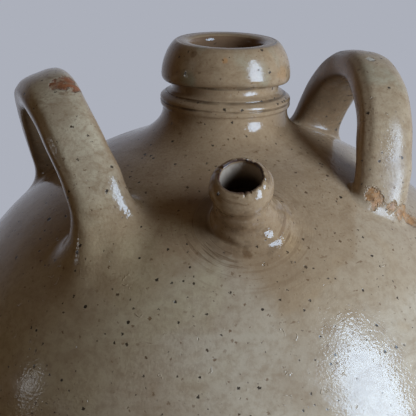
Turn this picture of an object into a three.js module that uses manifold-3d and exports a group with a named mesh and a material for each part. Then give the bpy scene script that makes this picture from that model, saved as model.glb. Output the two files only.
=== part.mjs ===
// A two-handled stoneware oil jug with a pouring spout, in millimetres, +Z up.
// The origin is the middle of its flat base, and the spout faces -Y.
// It is built as a potter builds it: a lower bowl and a shoulder thrown apart and luted rim to rim at the
// belly, a neck thrown with its collar, a thrown spout and two pulled strap handles, each stuck on with a
// collar of soft clay worked over the joint.

import * as THREE from "three";
import { mergeVertices } from "three/addons/utils/BufferGeometryUtils.js";
import Module from "manifold-3d";

// Body
const BODY_RADIUS = 141.7; // widest, at the belly seam
const BELLY_HEIGHT = 165; // from the base up to the seam
const SHOULDER_RISE = 141.7; // from the seam to where the dome would close
const FOOT_RADIUS = 78;
const HEEL_ROUND = 6;
const FOOT_SLOPE = 38; // degrees that the wall leans out above the heel
const FOOT_PULL = 55; // how far up the wall keeps that lean
const BELLY_PULL = 70; // how far below the seam the wall stays upright
const WALL = 7.5;
const FLOOR = 11;
const FLOOR_CORNER = 12; // where the floor turns up into the wall

// Neck, as heights one above the other from its seat on the shoulder
const MOUTH_RADIUS = 15.7;
const NECK_SEAT_RADIUS = 48;
const NECK_RADIUS = 29.2; // above the flare
const FLARE_HEIGHT = 14.5;
const NECK_BAND = 3.1; // plain part under the turned line
const LINE_WIDTH = 2.7;
const LINE_DEPTH = 0.9;
const RING_BAND = 1.3; // plain part of the ring over the line
const RING_ROUND = 3.4; // from there over to the groove
const CORD_GROOVE_HEIGHT = 3.6; // groove where a cover is tied on
const CORD_GROOVE_DEPTH = 5.1;
const COLLAR_UNDERSIDE = 3.9; // from the groove up to the collar's widest part
const COLLAR_RISE = 14.5; // from there up to the lip
const COLLAR_RADIUS = 29;
const LIP_WIDTH = 6.1; // flat lip from the mouth to where it turns over into the collar
const LIP_EDGE_ROUND = 1.6;

// Spout, with its lengths counted along its axis from the shoulder's surface
const SPOUT_POLAR = 32.2; // degrees from the jug's axis down to the spout's foot
const SPOUT_TILT = 31; // degrees that it leans forwards from upright
const SPOUT_SIDE_LEAN = -7; // degrees to the side, as it was stuck on by hand
const SPOUT_LENGTH = 28;
const SPOUT_BORE_RADIUS = 7.6;
const SPOUT_WALL = 3.2;
const SPOUT_LIP_HEIGHT = 12; // length of the rolled lip
const SPOUT_LIP_BULGE = 1.9; // lip beyond the tube
const SPOUT_MOUTH_FLARE = 1.3; // bore's opening out at the lip
const SPOUT_EDGE = 0.7; // rounding of the lip's edge
const SPOUT_COLLAR_SPREAD = 7.4; // clay collar beyond the tube, on the shoulder
const SPOUT_COLLAR_HEIGHT = 12;

// Strap handles
const HANDLE_WIDTH = 24; // across the strap
const HANDLE_THICKNESS = 15;
const HANDLE_SQUARENESS = 2.3; // 2 is an ellipse, more is flatter
const FOOT_COLLAR_SPREAD = 6.5; // clay collar beyond the strap, on the shoulder
const FOOT_COLLAR_HEIGHT = 8.5;

// Each handle's own arch: its feet in degrees round from the spout and down from the jug's axis, its lean
// outwards in degrees, its height, half the width that it keeps near the top, and its lean to the back foot
const LEFT_FRONT_AZIMUTH = -39.4;
const LEFT_FRONT_POLAR = 35.8;
const LEFT_BACK_AZIMUTH = -111;
const LEFT_BACK_POLAR = 34.8;
const LEFT_LEAN = 17.3;
const LEFT_HEIGHT = 50.2;
const LEFT_TOP_WIDTH = 29.5;
const LEFT_SKEW = 2.7;
const RIGHT_FRONT_AZIMUTH = 52;
const RIGHT_FRONT_POLAR = 33.6;
const RIGHT_BACK_AZIMUTH = 131.4;
const RIGHT_BACK_POLAR = 27.5;
const RIGHT_LEAN = 9.9;
const RIGHT_HEIGHT = 46.1;
const RIGHT_TOP_WIDTH = 32.1;
const RIGHT_SKEW = -2.4;

// Fits and facets
const JOINT_GAP = 0.3; // the luting slip between two pieces
const CLAY_EDGE = 2; // thickness of a clay collar where it ends on its stem
const BODY_SIDES = 48;
const DOME_RINGS = 12;
const NECK_SIDES = 36;
const SPOUT_SIDES = 24;
const COLLAR_SIDES = 20;
const STRAP_SIDES = 14;
const STRAP_STEPS = 28;

// Sizes that follow from those above
const STOCK = 2 * WALL; // left on below the shoulder's surface and trimmed off there
const NECK_SEAT_HEIGHT = BELLY_HEIGHT + SHOULDER_RISE * Math.sqrt(1 - (NECK_SEAT_RADIUS / BODY_RADIUS) ** 2);
const SPOUT_TUBE_RADIUS = SPOUT_BORE_RADIUS + SPOUT_WALL;
const LEFT_HANDLE = {
  front: [LEFT_FRONT_AZIMUTH, LEFT_FRONT_POLAR],
  back: [LEFT_BACK_AZIMUTH, LEFT_BACK_POLAR],
  lean: LEFT_LEAN,
  height: LEFT_HEIGHT,
  topWidth: LEFT_TOP_WIDTH,
  skew: LEFT_SKEW,
};
const RIGHT_HANDLE = {
  front: [RIGHT_FRONT_AZIMUTH, RIGHT_FRONT_POLAR],
  back: [RIGHT_BACK_AZIMUTH, RIGHT_BACK_POLAR],
  lean: RIGHT_LEAN,
  height: RIGHT_HEIGHT,
  topWidth: RIGHT_TOP_WIDTH,
  skew: RIGHT_SKEW,
};

const GLAZE = { color: 0xa69680, roughness: 0.22, metalness: 0 };
const BROWN_GLAZE = { color: 0x8d7960, roughness: 0.25, metalness: 0 };

const wasm = await Module();
wasm.setup();

const radians = THREE.MathUtils.degToRad;
const point = (r, z) => new THREE.Vector2(r, z);

// Solids and geometry

function solidOf(geometry) {
  const bare = geometry.clone();
  bare.deleteAttribute("normal");
  bare.deleteAttribute("uv");
  const merged = mergeVertices(bare, 1e-4);
  return new wasm.Manifold(
    new wasm.Mesh({
      numProp: 3,
      vertProperties: new Float32Array(merged.attributes.position.array),
      triVerts: new Uint32Array(merged.index.array),
    }),
  );
}

function geometryOf(solid) {
  const mesh = solid.getMesh();
  const geometry = new THREE.BufferGeometry();
  geometry.setAttribute("position", new THREE.BufferAttribute(mesh.vertProperties, 3));
  geometry.setIndex(new THREE.BufferAttribute(mesh.triVerts, 1));
  geometry.computeVertexNormals();
  return geometry;
}

// A body turned from a closed profile of (radius, height) points, standing on +Z.
function turned(profile, sides) {
  const geometry = new THREE.LatheGeometry(profile, sides);
  geometry.rotateX(Math.PI / 2);
  return geometry;
}

// A piece trimmed to the pieces that it is stuck on, which are solids in the jug's frame.
function trimmed(geometry, place, cutters) {
  const inPlace = geometry.clone().applyMatrix4(place);
  const cut = cutters.reduce((solid, cutter) => solid.subtract(cutter), solidOf(inPlace));
  return geometryOf(cut).applyMatrix4(place.clone().invert());
}

function named(name, geometry, look) {
  const mesh = new THREE.Mesh(geometry, new THREE.MeshStandardMaterial(look));
  mesh.name = name;
  return mesh;
}

// A curve that leaves one point towards the corner and reaches the other point from it.
function rounded(from, corner, to, count) {
  return new THREE.QuadraticBezierCurve(from, corner, to).getPoints(count);
}

// Body: a thrown bowl below the belly and a thrown dome above it

function lowerWall() {
  const lean = radians(FOOT_SLOPE);
  const heel = point(FOOT_RADIUS, HEEL_ROUND);
  const rise = point(FOOT_RADIUS + FOOT_PULL * Math.sin(lean), HEEL_ROUND + FOOT_PULL * Math.cos(lean));
  const upright = point(BODY_RADIUS, BELLY_HEIGHT - BELLY_PULL);
  return new THREE.CubicBezierCurve(heel, rise, upright, point(BODY_RADIUS, BELLY_HEIGHT));
}

// Points of a curve moved inwards by the wall, from its end back to its start.
function innerFace(curve, wall, count) {
  return Array.from({ length: count + 1 }, (_, i) => {
    const t = 1 - i / count;
    const along = curve.getTangent(t);
    return curve.getPoint(t).add(point(-along.y, along.x).multiplyScalar(wall));
  });
}

function lowerBody() {
  const wall = lowerWall();
  const heel = rounded(point(FOOT_RADIUS - HEEL_ROUND, 0), point(FOOT_RADIUS, 0), wall.getPoint(0), 2);
  const rim = point(BODY_RADIUS - WALL, BELLY_HEIGHT);
  const inside = innerFace(wall, WALL, 9).slice(1).filter((p) => p.y > FLOOR + FLOOR_CORNER);
  const corner = inside[inside.length - 1];
  const floor = rounded(corner, point(corner.x - FLOOR_CORNER, FLOOR), point(corner.x - 2 * FLOOR_CORNER, FLOOR), 3);
  return turned(
    [point(0, 0), ...heel, ...wall.getPoints(9).slice(1), rim, ...inside, ...floor.slice(1), point(0, FLOOR)],
    BODY_SIDES,
  );
}

// Dome points from the belly up to a radius, on an ellipse of the given semi-axes.
function domeArc(radius, rise, topRadius, count) {
  const top = Math.acos(topRadius / radius);
  return Array.from({ length: count + 1 }, (_, i) => {
    const angle = (top * i) / count;
    return point(radius * Math.cos(angle), BELLY_HEIGHT + rise * Math.sin(angle));
  });
}

function shoulder() {
  const insideRadius = BODY_RADIUS - WALL;
  const insideRise = SHOULDER_RISE - WALL;
  const seatShare = Math.min(1, (NECK_SEAT_HEIGHT - BELLY_HEIGHT) / insideRise);
  const openingRadius = Math.max(MOUTH_RADIUS, insideRadius * Math.sqrt(1 - seatShare ** 2));
  const outside = domeArc(BODY_RADIUS, SHOULDER_RISE, NECK_SEAT_RADIUS, DOME_RINGS);
  const inside = domeArc(insideRadius, insideRise, openingRadius, DOME_RINGS).reverse();
  return turned([...outside, point(openingRadius, NECK_SEAT_HEIGHT), ...inside, outside[0]], BODY_SIDES);
}

// The shoulder's outer surface as a solid grown by a gap, to trim what sits on it.
function domeCutter(gap) {
  const arc = domeArc(BODY_RADIUS + gap, SHOULDER_RISE + gap, 0, DOME_RINGS + 5);
  return solidOf(turned([point(0, BELLY_HEIGHT), ...arc], BODY_SIDES));
}

// A place on the shoulder, by its angle round from the front and its angle down from the jug's axis.
function onDome(azimuth, polar) {
  const around = radians(azimuth);
  const out = BODY_RADIUS * Math.sin(radians(polar));
  const up = BELLY_HEIGHT + SHOULDER_RISE * Math.cos(radians(polar));
  return new THREE.Vector3(out * Math.sin(around), -out * Math.cos(around), up);
}

// The way straight out of the shoulder there.
function normalOnDome(azimuth, polar) {
  const place = onDome(azimuth, polar);
  const side = BODY_RADIUS ** 2;
  const rise = SHOULDER_RISE ** 2;
  return new THREE.Vector3(place.x / side, place.y / side, (place.z - BELLY_HEIGHT) / rise).normalize();
}

// Neck with its flare, turned line, ring, cord groove and rounded collar

// The flare from the seat up to the neck's plain part, grown outwards by a gap.
function flare(gap) {
  const slope = Math.atan2(SHOULDER_RISE * NECK_SEAT_RADIUS, BODY_RADIUS * (NECK_SEAT_HEIGHT - BELLY_HEIGHT));
  const corner = point(NECK_RADIUS + gap, (NECK_SEAT_RADIUS - NECK_RADIUS) * Math.tan(slope) + gap);
  return rounded(point(NECK_SEAT_RADIUS + gap, 0), corner, point(NECK_RADIUS + gap, FLARE_HEIGHT), 5);
}

function flareCutter(gap) {
  const profile = [point(0, 0), ...flare(gap), point(0, FLARE_HEIGHT)];
  return solidOf(turned(profile, NECK_SIDES).translate(0, 0, NECK_SEAT_HEIGHT));
}

function neck() {
  const line = FLARE_HEIGHT + NECK_BAND;
  const ring = line + LINE_WIDTH;
  const ringEdge = ring + RING_BAND;
  const groove = ringEdge + RING_ROUND;
  const grooveTop = groove + CORD_GROOVE_HEIGHT;
  const bulge = grooveTop + COLLAR_UNDERSIDE;
  const top = bulge + COLLAR_RISE;
  const grooveRadius = NECK_RADIUS - CORD_GROOVE_DEPTH;
  const lipRadius = MOUTH_RADIUS + LIP_WIDTH;
  const turnedLine = rounded(
    point(NECK_RADIUS, line),
    point(NECK_RADIUS - 2 * LINE_DEPTH, line + LINE_WIDTH / 2),
    point(NECK_RADIUS, ring),
    4,
  );
  const ringTop = rounded(
    point(NECK_RADIUS, ringEdge),
    point(NECK_RADIUS, groove),
    point(grooveRadius, groove),
    4,
  );
  const underside = rounded(
    point(grooveRadius, grooveTop),
    point(COLLAR_RADIUS, grooveTop + COLLAR_UNDERSIDE / 4),
    point(COLLAR_RADIUS, bulge),
    4,
  );
  const outside = new THREE.CubicBezierCurve(
    point(COLLAR_RADIUS, bulge),
    point(COLLAR_RADIUS, bulge + COLLAR_RISE / 2),
    point((COLLAR_RADIUS + lipRadius) / 2, top),
    point(lipRadius, top),
  ).getPoints(5);
  const lipEdge = rounded(
    point(MOUTH_RADIUS + LIP_EDGE_ROUND, top),
    point(MOUTH_RADIUS, top),
    point(MOUTH_RADIUS, top - LIP_EDGE_ROUND),
    2,
  );
  const foot = point(MOUTH_RADIUS, 0);
  return turned(
    [foot, ...flare(0), ...turnedLine, ...ringTop, ...underside, ...outside.slice(1), ...lipEdge, foot],
    NECK_SIDES,
  );
}

// Clay collars round the feet of the spout and the handles

// Soft clay wiped round the foot of a stem: a flare from a thin edge on the stem out to the shoulder.
function wipedClay(stemRadius, spread, height) {
  const top = stemRadius + CLAY_EDGE;
  const foot = stemRadius + spread;
  return [point(foot, -STOCK), ...rounded(point(foot, 0), point(top, height / 5), point(top, height), 5)];
}

// Tips a collar's flat foot to lie along the shoulder, whose normal is given in the collar's own frame.
function laidOnShoulder(collar, normal) {
  const tip = new THREE.Matrix4();
  tip.set(1, 0, 0, 0, 0, 1, 0, 0, -normal.x / normal.z, -normal.y / normal.z, 1, 0, 0, 0, 0, 1);
  return collar.applyMatrix4(tip);
}

// Spout, leaning out over the front of the shoulder

function spoutPlace() {
  const group = new THREE.Group();
  group.position.copy(onDome(0, SPOUT_POLAR));
  group.rotation.set(radians(SPOUT_TILT), radians(SPOUT_SIDE_LEAN), 0);
  group.updateMatrixWorld(true);
  return group;
}

function spoutTube() {
  const lipStart = SPOUT_LENGTH - SPOUT_LIP_HEIGHT;
  const mouthRadius = SPOUT_BORE_RADIUS + SPOUT_MOUTH_FLARE;
  const lip = new THREE.CubicBezierCurve(
    point(SPOUT_TUBE_RADIUS, lipStart),
    point(SPOUT_TUBE_RADIUS, lipStart + SPOUT_LIP_HEIGHT / 2),
    point(SPOUT_TUBE_RADIUS + 2 * SPOUT_LIP_BULGE, SPOUT_LENGTH - SPOUT_LIP_HEIGHT / 6),
    point(mouthRadius + SPOUT_EDGE, SPOUT_LENGTH),
  ).getPoints(6);
  return turned(
    [
      point(SPOUT_BORE_RADIUS, -STOCK),
      point(SPOUT_TUBE_RADIUS, -STOCK),
      ...lip,
      point(mouthRadius, SPOUT_LENGTH - SPOUT_EDGE),
      point(SPOUT_BORE_RADIUS, lipStart),
      point(SPOUT_BORE_RADIUS, -STOCK),
    ],
    SPOUT_SIDES,
  );
}

function spoutBore() {
  const bore = new THREE.CylinderGeometry(SPOUT_BORE_RADIUS, SPOUT_BORE_RADIUS, 4 * STOCK, SPOUT_SIDES);
  return bore.rotateX(Math.PI / 2);
}

function spoutCollar() {
  const inner = SPOUT_TUBE_RADIUS + JOINT_GAP;
  const clay = wipedClay(inner, SPOUT_COLLAR_SPREAD, SPOUT_COLLAR_HEIGHT);
  const foot = point(inner, -STOCK);
  const normal = normalOnDome(0, SPOUT_POLAR).applyQuaternion(spoutPlace().quaternion.invert());
  return laidOnShoulder(turned([foot, ...clay, point(inner, SPOUT_COLLAR_HEIGHT), foot], SPOUT_SIDES), normal);
}

// Handles: a strap swept over an arch, in a frame with X along the feet and Z up through the arch

// A handle's frame, with its origin midway between the feet and X from the front foot to the back one.
function handlePlace(handle) {
  const front = onDome(...handle.front);
  const back = onDome(...handle.back);
  const along = back.clone().sub(front).normalize();
  const up = new THREE.Vector3(0, 0, 1).addScaledVector(along, -along.z).normalize();
  const middle = front.clone().add(back).divideScalar(2);
  const across = new THREE.Vector3().crossVectors(up, along);
  const outwards = Math.sign(across.dot(middle));
  up.applyAxisAngle(along, -outwards * radians(handle.lean));
  across.crossVectors(up, along);
  const group = new THREE.Group();
  group.position.copy(middle);
  group.setRotationFromMatrix(new THREE.Matrix4().makeBasis(along, across, up));
  group.updateMatrixWorld(true);
  return { group, span: front.distanceTo(back) };
}

// The strap's middle line. A cubic curve reaches three quarters of its inner points' height.
function arch(handle, span) {
  const peak = (handle.height * 4) / 3;
  return new THREE.CubicBezierCurve3(
    new THREE.Vector3(-span / 2, 0, 0),
    new THREE.Vector3(handle.skew - handle.topWidth, 0, peak),
    new THREE.Vector3(handle.skew + handle.topWidth, 0, peak),
    new THREE.Vector3(span / 2, 0, 0),
  );
}

// The arch with both ends run on straight into the shoulder, to be trimmed there.
function handlePath(handle, span) {
  const curve = arch(handle, span);
  const start = curve.getPoint(0);
  const end = curve.getPoint(1);
  const path = new THREE.CurvePath();
  path.add(new THREE.LineCurve3(start.clone().addScaledVector(curve.getTangent(0), -STOCK), start));
  path.add(curve);
  path.add(new THREE.LineCurve3(end, end.clone().addScaledVector(curve.getTangent(1), STOCK)));
  return path;
}

// The strap's section, a flattened oval, with its width across the handle.
function strapSection(gap) {
  const power = 2 / HANDLE_SQUARENESS;
  const shaped = (v) => Math.sign(v) * Math.abs(v) ** power;
  return new THREE.Shape(
    Array.from({ length: STRAP_SIDES }, (_, i) => {
      const angle = (2 * Math.PI * i) / STRAP_SIDES;
      const across = (HANDLE_WIDTH / 2 + gap) * shaped(Math.cos(angle));
      return point(across, (HANDLE_THICKNESS / 2 + gap) * shaped(Math.sin(angle)));
    }),
  );
}

function strap(handle, span, gap) {
  return new THREE.ExtrudeGeometry(strapSection(gap), {
    steps: STRAP_STEPS,
    extrudePath: handlePath(handle, span),
    bevelEnabled: false,
  });
}

// A flared round collar, stretched to the strap's oval.
function footCollar() {
  const strapHalf = HANDLE_THICKNESS / 2 + JOINT_GAP;
  const stretch = (HANDLE_WIDTH - HANDLE_THICKNESS) / 2;
  const clay = wipedClay(strapHalf, FOOT_COLLAR_SPREAD, FOOT_COLLAR_HEIGHT);
  const geometry = turned([point(0, -STOCK), ...clay, point(0, FOOT_COLLAR_HEIGHT)], COLLAR_SIDES);
  const places = geometry.attributes.position;
  for (let i = 0; i < places.count; i += 1) {
    const reach = Math.hypot(places.getX(i), places.getY(i));
    if (reach > 1e-6) places.setY(i, places.getY(i) * (1 + stretch / reach));
  }
  return geometry;
}

// A foot's collar in the handle's frame, standing on the leg's own line and spread on the shoulder.
function placedCollar(handle, group, span, isBack) {
  const curve = arch(handle, span);
  const t = isBack ? 1 : 0;
  const leg = curve.getTangent(t).multiplyScalar(isBack ? -1 : 1);
  const across = new THREE.Vector3(0, 1, 0);
  const basis = new THREE.Matrix4().makeBasis(across.clone().cross(leg), across, leg);
  const normal = normalOnDome(...(isBack ? handle.back : handle.front));
  normal.applyQuaternion(group.quaternion.clone().invert());
  normal.transformDirection(basis.clone().invert());
  return laidOnShoulder(footCollar(), normal).applyMatrix4(basis).translate(...curve.getPoint(t));
}

// Assembly

const jug = new THREE.Group();
const seats = [domeCutter(JOINT_GAP), flareCutter(JOINT_GAP)];
const spoutGroup = spoutPlace();
const spoutMatrix = spoutGroup.matrixWorld;

jug.add(named("lower_body", lowerBody(), GLAZE));
const shoulderHole = solidOf(spoutBore().applyMatrix4(spoutMatrix));
jug.add(named("shoulder", geometryOf(solidOf(shoulder()).subtract(shoulderHole)), GLAZE));

const neckMesh = named("neck", neck(), GLAZE);
neckMesh.position.z = NECK_SEAT_HEIGHT;
jug.add(neckMesh);

spoutGroup.add(named("spout", trimmed(spoutTube(), spoutMatrix, seats), BROWN_GLAZE));
spoutGroup.add(named("spout_clay_collar", trimmed(spoutCollar(), spoutMatrix, seats), BROWN_GLAZE));
jug.add(spoutGroup);

for (const [side, handle] of [["left", LEFT_HANDLE], ["right", RIGHT_HANDLE]]) {
  const { group, span } = handlePlace(handle);
  const place = group.matrixWorld;
  group.add(named(`${side}_handle`, trimmed(strap(handle, span, 0), place, seats), GLAZE));
  const grown = solidOf(strap(handle, span, JOINT_GAP).applyMatrix4(place));
  for (const end of ["front", "back"]) {
    const collar = placedCollar(handle, group, span, end === "back");
    group.add(named(`${side}_handle_${end}_collar`, trimmed(collar, place, [...seats, grown]), GLAZE));
  }
  jug.add(group);
}

export default jug;
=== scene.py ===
"""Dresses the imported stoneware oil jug: thrown pot, spout, strap handles, glaze and a plain stage."""

import math

import bmesh
import bpy
from bpy.props import FloatProperty, FloatVectorProperty, IntProperty, PointerProperty
from mathutils import Matrix, Quaternion, Vector, noise
from mathutils.geometry import interpolate_bezier


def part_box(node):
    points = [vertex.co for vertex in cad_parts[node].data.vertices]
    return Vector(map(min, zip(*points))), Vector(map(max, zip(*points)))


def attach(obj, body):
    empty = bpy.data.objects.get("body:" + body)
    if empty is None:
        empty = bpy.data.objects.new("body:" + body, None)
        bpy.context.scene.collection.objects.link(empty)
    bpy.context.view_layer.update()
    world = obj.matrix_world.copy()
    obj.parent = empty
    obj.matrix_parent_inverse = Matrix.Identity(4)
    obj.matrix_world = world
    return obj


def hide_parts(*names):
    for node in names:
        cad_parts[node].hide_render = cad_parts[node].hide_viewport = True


bl_info = {
    "name": "Stoneware oil jug",
    "version": (1, 0, 0),
    "blender": (4, 5, 0),
    "location": "View3D > Sidebar > Oil jug",
    "description": "Throws, joins and glazes a stoneware oil jug over its CAD frame",
    "category": "Object",
}

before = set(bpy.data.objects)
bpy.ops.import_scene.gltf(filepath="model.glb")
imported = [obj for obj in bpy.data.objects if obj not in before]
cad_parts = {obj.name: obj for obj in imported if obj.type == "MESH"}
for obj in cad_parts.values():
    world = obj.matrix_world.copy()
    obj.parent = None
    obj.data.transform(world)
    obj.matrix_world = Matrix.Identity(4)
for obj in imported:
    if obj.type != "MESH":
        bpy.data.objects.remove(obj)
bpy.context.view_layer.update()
SHOULDER_LOW, SHOULDER_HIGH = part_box("shoulder")
AXIS = Vector((0, 0, 1))

# Points closer than this count as one, and points closer to the axis count as on it
SAME_PLACE = 1e-6
ON_AXIS = 1e-5


def length(name, description, default):
    """A size in metres for the sidebar."""
    return FloatProperty(name=name, description=description, default=default, precision=4, unit="LENGTH")


def angle(name, description, degrees):
    """An angle for the sidebar, given in degrees."""
    return FloatProperty(name=name, description=description, default=math.radians(degrees), subtype="ANGLE")


def colour(name, description, default):
    """A linear colour for the sidebar."""
    return FloatVectorProperty(name=name, description=description, default=default, size=3, min=0, max=1,
                               subtype="COLOR")


def number(name, description, default, lowest=0.0, subtype="NONE"):
    """A plain number for the sidebar."""
    return FloatProperty(name=name, description=description, default=default, min=lowest, subtype=subtype)


def count(name, description, default, lowest):
    """A whole number for the sidebar."""
    return IntProperty(name=name, description=description, default=default, min=lowest)


class PotSizes(bpy.types.PropertyGroup):
    """Sizes of the thrown pot."""

    radius: length("Radius", "Widest part of the belly and radius of the round shoulder", SHOULDER_HIGH.x)
    belly_height: length("Belly height", "Height of the widest part", SHOULDER_LOW.z)
    foot_radius: length("Foot radius", "Radius of the foot", 0.078)
    heel_round: length("Heel round", "Rounding where the wall meets the table", 0.006)
    foot_slope: angle("Foot slope", "How far the wall leans out above the heel", 38)
    foot_pull: length("Foot pull", "How far up the wall keeps that lean", 0.055)
    belly_pull: length("Belly pull", "How far below the belly the wall stays upright", 0.07)
    wall: length("Wall", "Thickness of the wall", 0.0075)
    floor: length("Floor", "Thickness of the floor", 0.011)
    mouth_radius: length("Mouth radius", "Radius of the mouth", 0.0157)
    seat_radius: length("Seat radius", "Where the neck's flare leaves the shoulder", 0.048)
    neck_radius: length("Neck radius", "Neck above the flare", 0.0292)
    flare_height: length("Flare height", "From the shoulder up to the plain neck", 0.0145)
    neck_band: length("Neck band", "Plain part under the turned line", 0.0031)
    line_width: length("Line width", "Width of the turned line", 0.0027)
    line_depth: length("Line depth", "Depth of the turned line", 0.0009)
    cut_width: length("Cut width", "Width of the lines cut round the ring", 0.0009)
    cut_depth: length("Cut depth", "Depth of the lines cut round the ring", 0.0005)
    ring_band: length("Ring band", "Upright part of the ring over the line", 0.0013)
    ring_round: length("Ring round", "From there over into the groove", 0.0034)
    groove_height: length("Groove height", "Groove where a cover is tied on", 0.0036)
    groove_depth: length("Groove depth", "Depth of the groove", 0.0051)
    collar_underside: length("Collar underside", "From the groove up to the collar's widest part", 0.0039)
    collar_rise: length("Collar rise", "From there up to the lip", 0.0145)
    collar_radius: length("Collar radius", "Widest part of the collar", 0.029)
    lip_width: length("Lip width", "Flat lip from the mouth to the collar", 0.0061)
    lip_line: length("Lip line", "Depth of the fine line turned round the lip", 0.00015)
    collar_lean: angle("Collar lean", "How far the hand-turned neck leans to the right", 1.3)
    collar_lift: length("Collar lift", "How much higher the collar's edge is at the front", 0.0022)
    wobble: length("Wobble", "How far the wall strays from the true round", 0.0005)
    steps: count("Steps", "Steps round the pot", 192, 24)


class SpoutSizes(bpy.types.PropertyGroup):
    """Sizes of the spout."""

    polar: angle("Polar angle", "From the jug's axis down to the spout's foot", 32.2)
    tilt: angle("Tilt", "Forward lean from upright", 31)
    side_lean: angle("Side lean", "Lean to the side", -7)
    length: length("Length", "From the shoulder to the lip", 0.028)
    bore: length("Bore radius", "Radius of the bore", 0.0076)
    wall: length("Wall", "Thickness of the tube", 0.0032)
    bulge: length("Bulge", "Lip beyond the tube", 0.0019)
    mouth_flare: length("Mouth flare", "Opening out of the bore at the lip", 0.0008)
    foot_spread: length("Foot spread", "Wiped clay beyond the tube", 0.019)
    foot_height: length("Foot height", "Height of the wiped clay on the tube", 0.0140)
    chip_depth: length("Chip depth", "Depth of the chips in the lip", 0.0017)
    # Below the glazed part the bore takes the dark inside wash, as painted shade
    glazed_bore: length("Glazed bore", "How far down from the lip the bore is glazed", 0.016)
    steps: count("Steps", "Steps round the spout", 96, 24)


class StrapSizes(bpy.types.PropertyGroup):
    """Sizes that both strap handles share."""

    width: length("Width", "Across the strap", 0.024)
    thickness: length("Thickness", "Through the strap", 0.015)
    squareness: number("Squareness", "2 is an ellipse, more is flatter", 2.5, 2)
    bury: length("Bury", "How far the foot's edge lies below the glaze", 0.00003)
    steps: count("Steps", "Rings along each strap", 90, 12)
    sides: count("Sides", "Sides of the strap's section", 56, 12)


class LeftHandleSizes(bpy.types.PropertyGroup):
    """Place and shape of the left handle."""

    front_around: angle("Front azimuth", "Front foot, round from the front", -39.4)
    front_polar: angle("Front polar angle", "Front foot, down from the axis", 35.8)
    back_around: angle("Back azimuth", "Back foot, round from the front", -111)
    back_polar: angle("Back polar angle", "Back foot, down from the axis", 34.8)
    lean: angle("Lean", "Outward lean of the loop", 17.3)
    height: length("Height", "Top of the loop over its feet", 0.0502)
    top_width: length("Top width", "Half width of the loop's shoulders", 0.0295)
    skew: length("Skew", "Shift of the top towards the back", 0.0027)
    thick_glaze: number("Thick glaze", "Share of thick glaze on the strap", 0.85, 0, "FACTOR")
    front_spread: length("Front spread", "Clay wiped out round the front foot", 0.0105)
    front_run: length("Front run", "Clay wiped further down the belly", 0.018)
    front_rise: length("Front rise", "How far up the front leg the wiped clay reaches", 0.009)
    front_lumps: length("Front lumps", "Unevenness of the clay round the front foot", 0.0003)
    front_flare: length("Front flare", "How much higher the clay is wiped up the leg's outer edge", 0.012)
    knuckle: length("Knuckle", "Swelling left by a thumb on the front leg", 0.0004)
    back_rise: length("Back rise", "How far up the back leg the wiped clay reaches", 0.009)
    back_spread: length("Back spread", "Clay wiped out round the back foot", 0.008)
    back_run: length("Back run", "Clay wiped further down behind", 0.003)


class RightHandleSizes(bpy.types.PropertyGroup):
    """Place and shape of the right handle."""

    front_around: angle("Front azimuth", "Front foot, round from the front", 52)
    front_polar: angle("Front polar angle", "Front foot, down from the axis", 33.6)
    back_around: angle("Back azimuth", "Back foot, round from the front", 131.4)
    back_polar: angle("Back polar angle", "Back foot, down from the axis", 27.5)
    lean: angle("Lean", "Outward lean of the loop", 9.9)
    height: length("Height", "Top of the loop over its feet", 0.0461)
    top_width: length("Top width", "Half width of the loop's shoulders", 0.0321)
    skew: length("Skew", "Shift of the top towards the back", -0.0024)
    thick_glaze: number("Thick glaze", "Share of thick glaze on the strap", 0.3, 0, "FACTOR")
    front_spread: length("Front spread", "Clay wiped out round the front foot", 0.003)
    front_run: length("Front run", "Clay wiped further down the belly", 0.001)
    front_rise: length("Front rise", "How far up the front leg the wiped clay reaches", 0.0045)
    front_lumps: length("Front lumps", "Unevenness of the clay round the front foot", 0.0009)
    front_flare: length("Front flare", "How much higher the clay is wiped up the leg's outer edge", 0.001)
    knuckle: length("Knuckle", "Swelling left by a thumb on the front leg", 0.0003)
    back_rise: length("Back rise", "How far up the back leg the wiped clay reaches", 0.009)
    back_spread: length("Back spread", "Clay wiped out round the back foot", 0.008)
    back_run: length("Back run", "Clay wiped further down behind", 0.003)


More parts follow.
